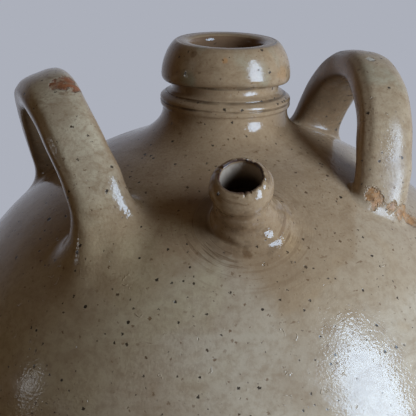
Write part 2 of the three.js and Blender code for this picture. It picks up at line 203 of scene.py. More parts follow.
class GlazeLook(bpy.types.PropertyGroup):
    """Colours and finish of the glaze."""

    body: colour("Glaze", "Warm grey-beige glaze", (0.452, 0.315, 0.194))
    pale: colour("Pale glaze", "Where the glaze is thick and greyer", (0.53, 0.402, 0.274))
    # Darkened, this brown also paints shade inside the strap loops, left of the spout's foot and in the lines
    # round the neck
    brown: colour("Brown glaze", "Where the glaze is thin over the clay", (0.275, 0.162, 0.084))
    warm: colour("Warm glaze", "Thinner, warmer glaze on the neck and round the spout", (0.385, 0.245, 0.134))
    green: colour("Green glaze", "Ash-green runs on the collar", (0.34, 0.32, 0.215))
    orange: colour("Orange blush", "Where the glaze blushes orange", (0.46, 0.27, 0.12))
    iron: colour("Iron", "Iron specks", (0.024, 0.015, 0.010))
    rust: colour("Rust", "Smaller rusty specks", (0.15, 0.07, 0.028))
    clay: colour("Bare clay", "Unglazed clay at the right foot", (0.50, 0.235, 0.088))
    scar: colour("Scar", "Pale scar where the glaze has flaked", (0.66, 0.55, 0.42))
    rim: colour("Worn rim", "Worn clay round the spout's mouth", (0.085, 0.030, 0.016))
    chip: colour("Chip", "Darker clay under the chip on the left handle", (0.34, 0.115, 0.042))
    strap: colour("Strap glaze", "Thick grey-green glaze on the flat of the straps", (0.565, 0.44, 0.288))
    olive: colour("Olive glaze", "Yellower glaze on the left of the belly", (0.50, 0.38, 0.205))
    bore: colour("Bore", "Thin grey wash inside the spout's lip", (0.47, 0.36, 0.27))
    # The inside wash is also laid down the spout's bore as painted shade
    inside: colour("Inside", "Brown wash inside the jug", (0.115, 0.070, 0.042))
    throat: colour("Throat", "Paler wash down the mouth", (0.33, 0.185, 0.10))
    roughness: number("Roughness", "Roughness of the glaze", 0.12, 0, "FACTOR")
    speck: length("Speck radius", "Largest of the common iron specks", 0.0009)
    ripple: length("Ripple", "Height of the orange-peel ripple", 0.00013)


class StageLook(bpy.types.PropertyGroup):
    """Colours and light of the stage."""

    backdrop: colour("Backdrop", "Pale wall behind the jug", (0.413, 0.434, 0.497))
    floor: colour("Floor", "Pale floor", (0.46, 0.38, 0.28))
    shade: colour("Shade", "Dim side of the room, as the glaze mirrors it", (0.026, 0.020, 0.014))
    fill: colour("Fill", "Warm light from all round", (0.079, 0.060, 0.035))
    window: number("Window", "Watts from a square metre of the window", 45.5)
    window_colour: colour("Window colour", "Colour of the window light", (0.58, 0.76, 1.0))
    door: number("Door", "Watts from a square metre of the door on the left", 12)
    door_colour: colour("Door colour", "Colour of the light from the door", (0.9, 0.95, 1.0))


# Shaping helpers

def stroke(start, first, second, end, steps):
    """Points along a cubic curve in the plane of a profile, each given as radius and height."""
    controls = [Vector((radius, 0, height)) for radius, height in (start, first, second, end)]
    return interpolate_bezier(*controls, steps)


def rounded(start, corner, end, steps):
    """Points of a curve that rounds a corner."""
    first = (start[0] + (corner[0] - start[0]) * 2 / 3, start[1] + (corner[1] - start[1]) * 2 / 3)
    second = (end[0] + (corner[0] - end[0]) * 2 / 3, end[1] + (corner[1] - end[1]) * 2 / 3)
    return stroke(start, first, second, end, steps)


def line(start, end, steps):
    """Points along a straight line of a profile."""
    first = Vector((start[0], 0, start[1]))
    last = Vector((end[0], 0, end[1]))
    return [first.lerp(last, i / (steps - 1)) for i in range(steps)]


def near(point, out, up):
    """A profile's point moved out and up by tenths of a millimetre."""
    return point[0] + out * 0.0001, point[1] + up * 0.0001


def drawn(start, strokes):
    """Curves joined end to end. Each has two pulls, an end and a number of points."""
    places = []
    for first, second, end, steps in strokes:
        places += stroke(start, first, second, end, steps)
        start = end
    return places


def turned(profile, steps, is_ring):
    """Turns a profile round the axis into a closed wall. A ring's profile is joined back to its start."""
    clay = bmesh.new()
    verts = []
    for place in profile:
        if not verts or (verts[-1].co - place).length > SAME_PLACE:
            verts.append(clay.verts.new(place))
    if is_ring and (verts[-1].co - verts[0].co).length < SAME_PLACE:
        clay.verts.remove(verts.pop())
    edges = [clay.edges.new(pair) for pair in zip(verts, verts[1:])]
    if is_ring:
        edges.append(clay.edges.new((verts[-1], verts[0])))
    bmesh.ops.spin(clay, geom=verts + edges, cent=(0, 0, 0), axis=AXIS, angle=math.tau, steps=steps,
                   use_merge=True)
    bmesh.ops.remove_doubles(clay, verts=clay.verts, dist=SAME_PLACE)
    bmesh.ops.recalc_face_normals(clay, faces=clay.faces)
    return clay


def soft_step(value, low, high):
    """0 below low, 1 above high and a soft rise between."""
    share = min(1, max(0, (value - low) / (high - low)))
    return share * share * (3 - 2 * share)


def ball_centre(pot):
    """Middle of the round shoulder."""
    return Vector((0, 0, pot.belly_height))


def on_shoulder(pot, around, polar):
    """A point of the shoulder, round from the front and down from the axis."""
    out = Vector((math.sin(around), -math.cos(around), 0)) * math.sin(polar)
    return ball_centre(pot) + pot.radius * (out + AXIS * math.cos(polar))


def seat_height(pot):
    """Height at which the neck leaves the shoulder."""
    return pot.belly_height + math.sqrt(pot.radius ** 2 - pot.seat_radius ** 2)


def neck_heights(pot):
    """Heights of the neck's turned forms, from the seat up."""
    line_low = seat_height(pot) + pot.flare_height + pot.neck_band
    ring_edge = line_low + pot.line_width + pot.ring_band
    groove = ring_edge + pot.ring_round
    groove_top = groove + pot.groove_height
    bulge = groove_top + pot.collar_underside
    return {"line_low": line_low, "ring_edge": ring_edge, "groove": groove, "groove_top": groove_top,
            "bulge": bulge, "top": bulge + pot.collar_rise}


# Wobble of the thrown wall: swells and throwing rings to a metre, and the rings' share
SWELL_SCALE = 13
RINGS_ROUND = 9
RINGS_UP = 95
RING_SHARE = 0.35

# Heights between which the wobble, the lift of the collar's edge and the neck's lean set in or fade out
WOBBLE_FROM = (0.004, 0.03)
LIFT_BELOW_EDGE = 0.007
LIFT_ABOVE_EDGE = (0.002, 0.009)
LEAN_ABOVE_SEAT = (0.002, 0.016)

# The neck counts as neck from its radius and the first of these out to its seat less the second
NECK_EDGE = (0.002, 0.003)


def hand_thrown(clay, pot):
    """Takes the machine-made truth out of a piece: swells, faint throwing rings and a neck that leans."""
    seat = Vector((0, 0, seat_height(pot)))
    edge = neck_heights(pot)["groove_top"]
    lean = Matrix.Rotation(pot.collar_lean, 3, "Y")
    for vert in clay.verts:
        place = vert.co.copy()
        out = Vector((place.x, place.y, 0))
        if out.length > ON_AXIS:
            out.normalize()
            swell = noise.noise(place * SWELL_SCALE)
            rings = noise.noise(Vector((place.x * RINGS_ROUND, place.y * RINGS_ROUND, place.z * RINGS_UP)))
            keep = soft_step(place.z, *WOBBLE_FROM)
            place += out * keep * pot.wobble * (swell + RING_SHARE * rings)
        reach = math.hypot(place.x, place.y)
        on_neck = 1 - soft_step(reach, pot.neck_radius + NECK_EDGE[0], pot.seat_radius - NECK_EDGE[1])
        front = max(0, -out.y) ** 2
        lift = soft_step(place.z, edge - LIFT_BELOW_EDGE, edge)
        lift *= 1 - soft_step(place.z, edge + LIFT_ABOVE_EDGE[0], edge + LIFT_ABOVE_EDGE[1])
        place.z += pot.collar_lift * front * lift * on_neck
        turn = soft_step(place.z, seat.z + LEAN_ABOVE_SEAT[0], seat.z + LEAN_ABOVE_SEAT[1]) * on_neck
        vert.co = place.lerp(seat + lean @ (place - seat), turn)


# Edges that turn more than this look sharp
SHARP_ANGLE = math.radians(50)


def make_piece(name, clay, looks, nodes):
    """Turns modelled clay into a named piece that stands for its CAD nodes."""
    mesh = bpy.data.meshes.new(name)
    clay.to_mesh(mesh)
    clay.free()
    mesh.shade_smooth()
    mesh.set_sharp_from_angle(angle=SHARP_ANGLE)
    for look in looks:
        mesh.materials.append(look)
    piece = bpy.data.objects.new(name, mesh)
    bpy.context.scene.collection.objects.link(piece)
    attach(piece, "root")
    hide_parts(*nodes)
    return piece


# Glaze

class Wiring:
    """Adds nodes to a material or a world and joins them."""

    def __init__(self, owner, coordinates="Object"):
        owner.use_nodes = True
        self.tree = owner.node_tree
        self.tree.nodes.clear()
        self.place = self.add("ShaderNodeTexCoord").outputs[coordinates]

    def add(self, kind, settings=None, inputs=None):
        """Adds a node with its settings and feeds its inputs with values or with other nodes."""
        node = self.tree.nodes.new(kind)
        node.location = (200 * (len(self.tree.nodes) % 12), -260 * (len(self.tree.nodes) // 12))
        for name, value in (settings or {}).items():
            setattr(node, name, value)
        for name, value in (inputs or {}).items():
            self.feed(node.inputs[name], value)
        return node

    def feed(self, socket, value):
        """Links a socket to another node's output, or sets its value."""
        if isinstance(value, bpy.types.NodeSocket):
            self.tree.links.new(value, socket)
        else:
            socket.default_value = value

    def math(self, operation, first, second=0.0, third=0.0):
        """A sum of two or three numbers."""
        node = self.add("ShaderNodeMath", {"operation": operation}, {0: first, 1: second, 2: third})
        return node.outputs[0]

    def times(self, first, second):
        """A product of two numbers."""
        return self.math("MULTIPLY", first, second)

    def shifted(self, value, share, start):
        """A share of a number added to another."""
        return self.math("MULTIPLY_ADD", value, share, start)

    def off(self, value, middle):
        """How far a number is from the middle."""
        return self.math("ABSOLUTE", self.math("SUBTRACT", value, middle))

    def vector(self, operation, first, second):
        """A sum of two vectors. Returns the vector and the number that come out."""
        node = self.add("ShaderNodeVectorMath", {"operation": operation}, {0: first, 1: second})
        return node.outputs[0], node.outputs[1]

    def ramp(self, value, low, high, start=0.0, end=1.0):
        """A soft step from start at low to end at high."""
        inputs = {"Value": value, "From Min": low, "From Max": high, "To Min": start, "To Max": end}
        return self.add("ShaderNodeMapRange", {"interpolation_type": "SMOOTHSTEP"}, inputs).outputs["Result"]

    def mix(self, share, first, second):
        """A mix of two colours."""
        node = self.add("ShaderNodeMix", {"data_type": "RGBA"}, {0: share})
        self.feed(node.inputs[6], first)
        self.feed(node.inputs[7], second)
        return node.outputs[2]

    def lay(self, tone, share, paint, darker=1.0):
        """A colour of the look laid over a tone."""
        return self.mix(share, tone, tint(paint, darker))

    def blend(self, share, first, second):
        """A mix of two numbers."""
        return self.add("ShaderNodeMix", {}, {0: share, 2: first, 3: second}).outputs[0]

    def clouds(self, scale, detail=2.0, roughness=0.5, distortion=0.0, stretch=None):
        """Soft noise, with the given number of features to a metre."""
        place = self.place
        if stretch:
            place = self.add("ShaderNodeMapping", {}, {"Vector": place, "Scale": stretch}).outputs[0]
        inputs = {"Vector": place, "Scale": scale, "Detail": detail}
        inputs.update({"Roughness": roughness, "Distortion": distortion})
        return self.add("ShaderNodeTexNoise", {}, inputs).outputs["Fac"]

    def height(self):
        """Height over the table."""
        return self.add("ShaderNodeSeparateXYZ", {}, {0: self.place}).outputs["Z"]

    def from_point(self, point):
        """Distance from a point of the jug."""
        return self.vector("DISTANCE", self.place, point)[1]

    def from_axis(self, centre, axis):
        """Distance from an axis and height along it from its centre."""
        away, _ = self.vector("SUBTRACT", self.place, centre)
        _, along = self.vector("DOT_PRODUCT", away, axis)
        _, whole = self.vector("DOT_PRODUCT", away, away)
        reach = self.math("SQRT", self.math("SUBTRACT", whole, self.times(along, along)))
        return reach, along

    def cells(self, place, scale, rag, share):
        """Ragged cells: distance from a cell's middle, its three lots, and 1 in the share of the cells."""
        shaken = self.add("ShaderNodeTexNoise", {}, {"Vector": place, "Scale": scale * 4, "Detail": 1.0})
        offset, _ = self.vector("SUBTRACT", shaken.outputs["Color"], (0.5, 0.5, 0.5))
        offset, _ = self.vector("MULTIPLY", offset, (rag / scale,) * 3)
        moved, _ = self.vector("ADD", place, offset)
        cells = self.add("ShaderNodeTexVoronoi", {}, {"Vector": moved, "Scale": scale})
        lots = self.add("ShaderNodeSeparateColor", {}, {0: cells.outputs["Color"]}).outputs
        return cells.outputs["Distance"], lots, self.math("GREATER_THAN", lots[0], 1 - share)

    def specks(self, scale, radius, share, rag, stretch=(1, 1, 1)):
        """Ragged specks in a share of the cells: their cover and a number that differs between specks."""
        place, _ = self.vector("MULTIPLY", self.place, stretch)
        distance, lots, has_one = self.cells(place, scale, rag, share)
        largest = radius * scale
        smallest = largest * 0.35
        size = self.shifted(self.math("POWER", lots[2], 1.6), largest - smallest, smallest)
        cover = self.ramp(self.math("SUBTRACT", size, distance), 0.0, smallest)
        return self.times(cover, has_one), lots[1]

    def crescents(self, scale, radius, width, share):
        """Short uneven arcs in a share of the cells, where glaze has run and set."""
        distance, _, has_one = self.cells(self.place, scale, 0.35, share)
        ring = self.ramp(self.off(distance, radius * scale), width * scale, 0.0)
        arc_part = self.ramp(self.clouds(240, 1), 0.54, 0.62)
        return self.times(self.times(ring, arc_part), has_one)


# Height of the tide line under which the glaze is thick and pale, and how far it wanders
TIDE_LINE = 0.281
TIDE_WANDER = 0.055

# Heights, from none to full, of the pale glaze under the tide line, of the smears, grain and dust
# that go with the glaze over it, and of the drips below it
PALE_BELOW = (TIDE_LINE + 0.012, TIDE_LINE - 0.008)
SMEARS_ABOVE = (TIDE_LINE - 0.012, TIDE_LINE)
GRAIN_ABOVE = (TIDE_LINE - 0.020, TIDE_LINE + 0.010)
DUST_ABOVE = (TIDE_LINE - 0.025, TIDE_LINE)
DRIPS_BELOW = (TIDE_LINE - 0.004, TIDE_LINE - 0.020)

# Middle of the brown stain round the spout, and where its edge starts and ends
STAIN_CENTRE = (-0.010, -0.070, 0.300)
STAIN_EDGE = (0.074, 0.071)

# Reach of the thin brown glaze round the spout's foot, from none to full, and how far its edge and the
# stain's wander
THIN_GLAZE = (0.078, 0.045)
THIN_WANDER = 0.05
STAIN_WANDER = 0.02

# Brown lines round the neck, painted shade under the collar and in the ring's cuts, with brown glaze in the
# cuts:
# half width from none to full, radius inside which they show, and their heights over the turned line, over
# the ring's edge and over the groove
BROWN_LINE = (0.0008, 0.0002)
BROWN_LINE_REACH = (0.034, 0.032)
BROWN_LINE_HEIGHTS = {"line_low": 0.0030, "ring_edge": 0.0025, "groove_top": 0.0011}

# Half width of the worn line round the lip, and its depths under the top, from none to full
WORN_LINE = (0.0007, 0.0001)
WORN_LINE_DEPTH = (0.004, 0.002)

# How far below and above the neck's seat its warm glaze sets in, and how far the green runs
# below and above the groove
WARM_NECK = (0.004, 0.010)
GREEN_RUNS = 0.006

# Height over the shoulder at which the thick glaze of a strap sets in, from none to full
STRAP_GLAZE = (0.004, 0.028)

# Reaches from the spout's axis, from none to full: wiped lines, smears, stains, painted shade with duller
# glaze left of the foot, and the foot
WIPED_REACH = (0.030, 0.020)
SMEAR_REACH = (0.042, 0.024)
STAIN_REACH = (0.030, 0.016)
SHADE_AND_GRIME_REACH = (0.024, 0.018)
OFF_CUP = (0.0125, 0.0150)

# Wiped lines to a metre
WIPED_LINES = 700.0

# Depths under the spout's lip between which painted shade darkens the bore's wash
BORE_SHADE = (-0.003, -0.0115)

# Worn lip of the spout: its inner and outer edge beyond the mouth, its lowest height from the tip,
# how far its ragged edge is moved out, and over what height it fades
WORN_INNER = 0.0003
WORN_OUTER = 0.0015
WORN_LOW = -0.0013
WORN_SHIFT = 0.0003
WORN_FADE = 0.0008

# The bore's wash: its edge beyond the worn lip's inner edge, from none to full, and over what height it fades
BORE_EDGE = (0.0012, 0.0006)
BORE_FADE = 0.001

# Radius of the pits in the glaze, and radius and width of its set drips
PIT_RADIUS = 0.0008
DRIP_RADIUS = 0.0019
DRIP_WIDTH = 0.00035

# A blush below this radius has a finely ragged edge
FINE_BLUSH = 0.0045

# Blushes and stains of the glaze, one of them with painted shadow left of the spout: middle, radius in
# metres, colour and strength
BLUSHES = (
    ((-0.0026, -0.0263, 0.3411), 0.0013, "clay", 0.9),
    ((-0.0184, -0.0206, 0.3385), 0.0052, "pale", 0.5),
    ((-0.0185, -0.0221, 0.3323), 0.0050, "green", 0.75),
    ((-0.0157, -0.0193, 0.3434), 0.0020, "rust", 0.6),
    ((0.0236, -0.0172, 0.3330), 0.0042, "clay", 0.35),
    # Brown stain left of the spout, darkened further as the spout's painted shadow
    ((-0.0141, -0.0577, 0.2935), 0.0120, "brown", 0.75),
    ((-0.0208, -0.1085, 0.2532), 0.0330, "pale", 0.75),
    ((-0.0640, -0.0900, 0.2550), 0.0500, "olive", 0.45),
    ((-0.0720, -0.0720, 0.2620), 0.0300, "warm", 0.4),
    ((-0.0443, -0.1141, 0.2359), 0.0260, "warm", 0.25),
    ((0.0337, -0.0603, 0.2885), 0.0180, "warm", 0.45),
    ((-0.0456, -0.0695, 0.2875), 0.0100, "warm", 0.6),
    ((-0.0036, -0.0911, 0.2892), 0.0090, "brown", 0.4),
    ((-0.0006, -0.0901, 0.2771), 0.0026, "rust", 0.95),
    ((-0.0036, -0.0915, 0.2865), 0.0030, "rust", 0.5),
    ((0.0019, -0.0910, 0.2857), 0.0026, "rust", 0.6),
    ((-0.0079, -0.0883, 0.2793), 0.0036, "rust", 0.4),
    ((-0.0049, -0.0894, 0.2783), 0.0030, "rust", 0.45),
    ((-0.0129, -0.0865, 0.2775), 0.0050, "rust", 0.3),
    ((0.0174, -0.0840, 0.2777), 0.0080, "orange", 0.35),
)

# Bare clay where the right handle's front foot meets the shoulder: middle and radius in metres
BARE_FOOT = (
    ((0.0565, -0.0570, 0.2890), 0.0036),
    ((0.0600, -0.0579, 0.2872), 0.0040),
    ((0.0580, -0.0584, 0.2852), 0.0036),
    ((0.0668, -0.0573, 0.2826), 0.0036),
    ((0.0712, -0.0550, 0.2800), 0.0040),
    ((0.0745, -0.0522, 0.2779), 0.0044),
    ((0.0775, -0.0485, 0.2757), 0.0046),
)

# Large iron specks on the shoulder: degrees round from the front and down from the axis, radius in metres
LARGE_SPECKS = (
    (-64.5, 38.3, 0.0016),
    (-36.3, 50.1, 0.0010),
    (-25.7, 51.3, 0.0010),
    (-14.4, 41.0, 0.0007),
    (-13.0, 43.8, 0.0008),
    (1.9, 48.2, 0.0009),
    (-10.4, 58.8, 0.0008),
    (-36.4, 62.3, 0.0008),
    (-27.6, 40.3, 0.0008),
    (-31.3, 42.4, 0.0008),
    (-45.9, 56.1, 0.0008),
    (38.2, 29.8, 0.0011),
)


def tint(value, share=1.0):
    """A colour with its alpha, made darker by the share."""
    return tuple(channel * share for channel in value) + (1,)


def strap_tone(wiring, look, tone, loop):
    """Thick glaze on the outer flat of a strap, and painted shade, dark brown, on the faces inside its loop.
    """
    normal = wiring.add("ShaderNodeNewGeometry").outputs["Normal"]
    sideways = wiring.math("ABSOLUTE", wiring.vector("DOT_PRODUCT", normal, tuple(loop.across))[1])
    away, _ = wiring.vector("SUBTRACT", wiring.place, tuple(loop.middle))
    away, _ = wiring.vector("NORMALIZE", away, (0, 0, 0))
    _, facing = wiring.vector("DOT_PRODUCT", normal, away)
    outside = wiring.ramp(facing, -0.1, 0.3)
    patches = wiring.ramp(wiring.clouds(70, 3, 0.6), 0.25, 0.6, start=0.75)
    thick = wiring.times(wiring.ramp(sideways, 0.85, 0.45, end=loop.handle.thick_glaze), outside)
    over = wiring.math("SUBTRACT", wiring.from_point(tuple(ball_centre(loop.pot))), loop.pot.radius)
    thick = wiring.times(thick, wiring.ramp(over, *STRAP_GLAZE))
    tone = wiring.lay(tone, wiring.times(thick, patches), look.strap)
    # Painted shade on the faces that look into the loop
    return wiring.lay(tone, wiring.ramp(facing, 0.1, -0.5, end=0.9), look.brown, 0.55)


def neck_tone(wiring, look, tone):
    """Warm glaze up the neck, and brown lines round it painting shade under the collar and in the cuts.
    Returns colour and cover of the worn lip.
    """
    pot = bpy.context.scene.jug_pot
    seat = seat_height(pot)
    heights = neck_heights(pot)
    height = wiring.height()
    tone = wiring.lay(tone, wiring.ramp(height, seat - WARM_NECK[0], seat + WARM_NECK[1], end=0.9), look.warm)
    lean = Matrix.Rotation(pot.collar_lean, 3, "Y") @ AXIS
    off_axis, along = wiring.from_axis((0, 0, seat), tuple(lean))
    broken = wiring.ramp(wiring.clouds(75, 2, 0.6), 0.35, 0.65, end=0.9)
    broken = wiring.times(broken, wiring.ramp(off_axis, *BROWN_LINE_REACH))
    # Painted shade in the cuts round the ring and on the collar's underside, with brown glaze lying in the
    # cuts
    for name, rise in BROWN_LINE_HEIGHTS.items():
        dark = wiring.ramp(wiring.off(along, heights[name] + rise - seat), *BROWN_LINE)
        tone = wiring.lay(tone, wiring.times(dark, broken), look.brown, 0.35)
    lip = wiring.ramp(wiring.off(off_axis, pot.mouth_radius + pot.lip_width), *WORN_LINE)
    worn = wiring.times(lip, wiring.ramp(broken, 0.3, 0.7))
    low, high = (heights["top"] - depth for depth in WORN_LINE_DEPTH)
    worn = wiring.times(worn, wiring.ramp(height, low, high))
    return tone, worn


def glaze_tone(wiring, look, wash, loop):
    """Colour of the glaze: thick and thin clouds, the brown round the spout, green runs and fine mottling."""
    pot = bpy.context.scene.jug_pot
    uneven = wiring.clouds(24, 3, 0.6, 0.3)
    if wash:
        return wiring.mix(wiring.ramp(uneven, 0.3, 0.7), tint(wash), tint(wash, 0.6))

    # Paler, thicker glaze below an uneven tide line
    height = wiring.height()
    broad = wiring.clouds(10, 3, 0.55, 0.4)
    tide = wiring.shifted(uneven, TIDE_WANDER, height)
    tone = wiring.lay(tint(look.body), wiring.ramp(tide, *PALE_BELOW), look.pale)
    tone = wiring.lay(tone, wiring.ramp(broad, 0.5, 0.72, end=0.6), look.pale)
    tone = wiring.lay(tone, wiring.ramp(broad, 0.48, 0.3, end=0.6), look.brown)

    # Thin brown glaze round the spout and up the neck
    foot = on_shoulder(pot, 0, bpy.context.scene.jug_spout.polar)
    reach = wiring.shifted(uneven, THIN_WANDER, wiring.from_point(foot))
    tone = wiring.lay(tone, wiring.ramp(reach, *THIN_GLAZE, end=0.62), look.brown)
    stain = wiring.shifted(uneven, STAIN_WANDER, wiring.from_point(STAIN_CENTRE))
    tone = wiring.lay(tone, wiring.ramp(stain, *STAIN_EDGE, end=0.6), look.warm)
    tone, worn_line = neck_tone(wiring, look, tone)

    # Blushes of orange, and ash-green runs on the collar
    blush = wiring.clouds(48, 2, 0.5)
    tone = wiring.lay(tone, wiring.ramp(blush, 0.6, 0.8, end=0.3), look.orange)
    runs = wiring.clouds(60, 2, 0.5, 0.2, (1, 1, 0.25))
    collar = neck_heights(pot)["groove_top"]
    high = wiring.ramp(height, collar - GREEN_RUNS, collar + GREEN_RUNS, end=0.5)
    tone = wiring.lay(tone, wiring.times(wiring.ramp(runs, 0.52, 0.68), high), look.green)
    flecks = wiring.clouds(420, 3, 0.6)
    # The listed blushes and stains, among them painted shadow left of the spout
    for centre, radius, name, share in BLUSHES:
        rag = blush if radius > FINE_BLUSH else flecks
        away = wiring.shifted(rag, radius * 1.6, wiring.from_point(centre))
        cover = wiring.ramp(away, radius * 2.0, radius * 1.3, end=share)
        tone = wiring.lay(tone, cover, getattr(look, name))
    tone = wiring.lay(tone, worn_line, look.brown, 0.4)
    if loop:
        tone = strap_tone(wiring, look, tone, loop)

    # Smudges drawn out by the wheel, and fine mottling
    smudge = wiring.clouds(34, 4, 0.65, 0.5, (1, 1, 2.4))
    tone = wiring.lay(tone, wiring.ramp(smudge, 0.46, 0.72, end=0.42), look.brown)
    smear = wiring.ramp(wiring.clouds(110, 4, 0.7, 0.8, (1, 1, 1.8)), 0.5, 0.68, end=0.5)
    smear = wiring.times(smear, wiring.ramp(height, *SMEARS_ABOVE))
    tone = wiring.lay(tone, smear, look.brown)
    fine = wiring.clouds(300, 4, 0.65)
    tone = wiring.lay(tone, wiring.ramp(fine, 0.4, 0.7, end=0.35), look.brown)
    grain = wiring.clouds(800, 2, 0.6)
    above = wiring.ramp(height, *GRAIN_ABOVE, start=0.25)
    tone = wiring.lay(tone, wiring.times(wiring.ramp(grain, 0.5, 0.7, end=0.35), above), look.brown)
    return wiring.lay(tone, wiring.times(wiring.ramp(grain, 0.45, 0.3, end=0.12), above), look.pale)


def iron_specks(wiring, look, tone):
    """Strews iron specks over a colour. Returns the new colour and the cover of the larger specks."""
    common, lot = wiring.specks(340, look.speck, share=0.95, rag=0.5)
    speck_tone = wiring.mix(wiring.ramp(lot, 0.3, 0.5), tint(look.iron), tint(look.rust))
    strong = wiring.times(common, wiring.ramp(lot, 0.25, 1.0, start=0.9, end=0.35))
    tone = wiring.mix(strong, tone, speck_tone)
    dashes, lot = wiring.specks(170, look.speck * 1.1, share=0.7, rag=0.5, stretch=(0.5, 0.5, 1.7))
    tone = wiring.lay(tone, wiring.times(dashes, wiring.ramp(lot, 0.2, 1.0, start=0.15, end=0.6)), look.rust)
    dust, lot = wiring.specks(520, look.speck * 0.55, share=0.8, rag=0.4)
    dust = wiring.times(dust, wiring.ramp(wiring.height(), *DUST_ABOVE, start=0.35))
    tone = wiring.lay(tone, wiring.times(dust, wiring.ramp(lot, 0.0, 1.0, start=0.1, end=0.7)), look.rust)
    large, _ = wiring.specks(105, look.speck, share=0.09, rag=0.5)
    ragged = wiring.clouds(700, 2, 0.5)
    for around, polar, radius in LARGE_SPECKS:
        centre = on_shoulder(bpy.context.scene.jug_pot, math.radians(around), math.radians(polar))
        away = wiring.shifted(ragged, radius, wiring.from_point(centre))
        large = wiring.math("MAXIMUM", large, wiring.ramp(away, radius * 1.3, radius * 1.05))
    tone = wiring.lay(tone, wiring.times(large, 0.92), look.iron)
    return tone, wiring.math("MAXIMUM", strong, large)


def wiped_foot(wiring, look, tone):
    """What wet fingers left round the spout's foot, and painted shade on its left. Returns the colour, the
    lines and the mask of painted shade and duller glaze.
    """
    scene = bpy.context.scene
    place = spout_place(scene.jug_pot, scene.jug_spout)
    centre, side, uphill, axis = (tuple(place.col[i].xyz) for i in (3, 0, 1, 2))
    reach, _ = wiring.from_axis(centre, axis)
    away, _ = wiring.vector("SUBTRACT", wiring.place, centre)
    turn_x = wiring.math("DIVIDE", wiring.vector("DOT_PRODUCT", away, side)[1], reach)
    turn_y = wiring.math("DIVIDE", wiring.vector("DOT_PRODUCT", away, uphill)[1], reach)
    path = wiring.add("ShaderNodeCombineXYZ", {}, {0: wiring.times(reach, WIPED_LINES), 1: turn_x, 2: turn_y})
    lines = wiring.add("ShaderNodeTexNoise", {}, {"Vector": path.outputs[0], "Scale": 1.0, "Detail": 3.0})
    lines = lines.outputs["Fac"]
    patches = wiring.clouds(45, 2)
    near_foot = wiring.times(wiring.ramp(reach, *WIPED_REACH), wiring.ramp(patches, 0.40, 0.55))
    wiped = wiring.times(wiring.ramp(lines, 0.46, 0.36), near_foot)
    tone = wiring.lay(tone, wiring.times(wiped, 0.6), look.rust)
    off_cup = wiring.ramp(reach, *OFF_CUP)
    smears = wiring.times(wiring.ramp(lines, 0.5, 0.62), wiring.ramp(reach, *SMEAR_REACH))
    smears = wiring.times(smears, wiring.ramp(patches, 0.62, 0.42, start=0.1, end=0.5))
    tone = wiring.lay(tone, wiring.times(smears, off_cup), look.brown)
    stains = wiring.ramp(wiring.clouds(170, 4, 0.7), 0.47, 0.66)
    stains = wiring.times(wiring.ramp(reach, *STAIN_REACH), stains)
    tone = wiring.lay(tone, wiring.times(stains, 0.6), look.brown, 0.7)
    # Painted shade: darker brown on the left of the spout's foot, where the glaze is also made duller
    shade_and_grime = wiring.times(wiring.ramp(turn_x, -0.1, -0.6), wiring.ramp(reach, *SHADE_AND_GRIME_REACH))
    shade_and_grime = wiring.times(shade_and_grime, off_cup)
    return wiring.lay(tone, wiring.times(shade_and_grime, 0.4), look.brown, 0.6), wiped, shade_and_grime


def clay_patches(wiring):
    """Patches where bare clay is darker."""
    return wiring.ramp(wiring.clouds(420, 3, 0.7), 0.35, 0.68)


def bare_clay(wiring, tone, marks):
    """Bare clay at the marks, where the glaze has chipped off or never took. Returns colour and cover."""
    bare = None
    ragged = wiring.clouds(230, 4, 0.7)
    patches = clay_patches(wiring)
    streaks = wiring.ramp(wiring.clouds(330, 3, 0.6, 0.4), 0.4, 0.52, start=0.45)
    for centre, size, paint in marks:
        away = wiring.math("DIVIDE", wiring.from_point(centre), size)
        chip = wiring.ramp(wiring.shifted(ragged, 1.9, away), 2.02, 1.68)
        clay = wiring.mix(patches, tint(paint), tint(paint, 0.5))
        tone = wiring.mix(wiring.times(chip, streaks), tone, clay)
        bare = chip if bare is None else wiring.math("MAXIMUM", bare, chip)
    return tone, bare


def worn_lip(wiring, look, tone, worn):
    """Worn clay round the spout's mouth, with the bore's wash inside it, darkened further down as painted
    shade. Returns colour and cover.
    """
    centre, axis, inner, outer, low = worn
    ring, height = wiring.from_axis(centre, axis)
    rag = wiring.times(wiring.clouds(420, 3, 0.6), outer - inner)
    edge = wiring.ramp(wiring.math("ADD", ring, rag), outer + WORN_SHIFT, inner + WORN_SHIFT)
    hole = wiring.ramp(ring, inner + BORE_EDGE[0], inner + BORE_EDGE[1])
    hole = wiring.times(hole, wiring.ramp(height, low, low - BORE_FADE))
    # Painted shade: the wash darkens down the bore to half the inside colour
    depth = wiring.ramp(height, *BORE_SHADE)
    tone = wiring.mix(hole, tone, wiring.mix(depth, tint(look.bore), tint(look.inside, 0.5)))
    bare = wiring.times(edge, wiring.ramp(height, low, low + WORN_FADE))
    clay = wiring.mix(clay_patches(wiring), tint(look.rim), tint(look.rim, 0.4))
    return wiring.mix(bare, tone, clay), bare


def skin_height(wiring, hollow):
    """Height of the orange peel, dimples, swells, drips and pits of the glaze, added to the hollows."""
    peel = wiring.clouds(850, 1, 0.5)
    ripples = wiring.ramp(wiring.clouds(26, 2, 0.5), 0.42, 0.62, start=0.4, end=0.9)
    drips = wiring.crescents(90, DRIP_RADIUS, DRIP_WIDTH, share=1.0)
    drips = wiring.times(drips, wiring.ramp(wiring.height(), *DRIPS_BELOW))
    pits, _ = wiring.specks(150, PIT_RADIUS, share=0.4, rag=0.4)
    skin = wiring.shifted(wiring.clouds(140, 2, 0.5), 0.7, wiring.times(peel, ripples))
    skin = wiring.shifted(wiring.clouds(58, 1, 0.5), 2.0, skin)
    skin = wiring.shifted(drips, 1.3, skin)
    skin = wiring.shifted(pits, -1.8, skin)
    return wiring.math("ADD", skin, hollow)


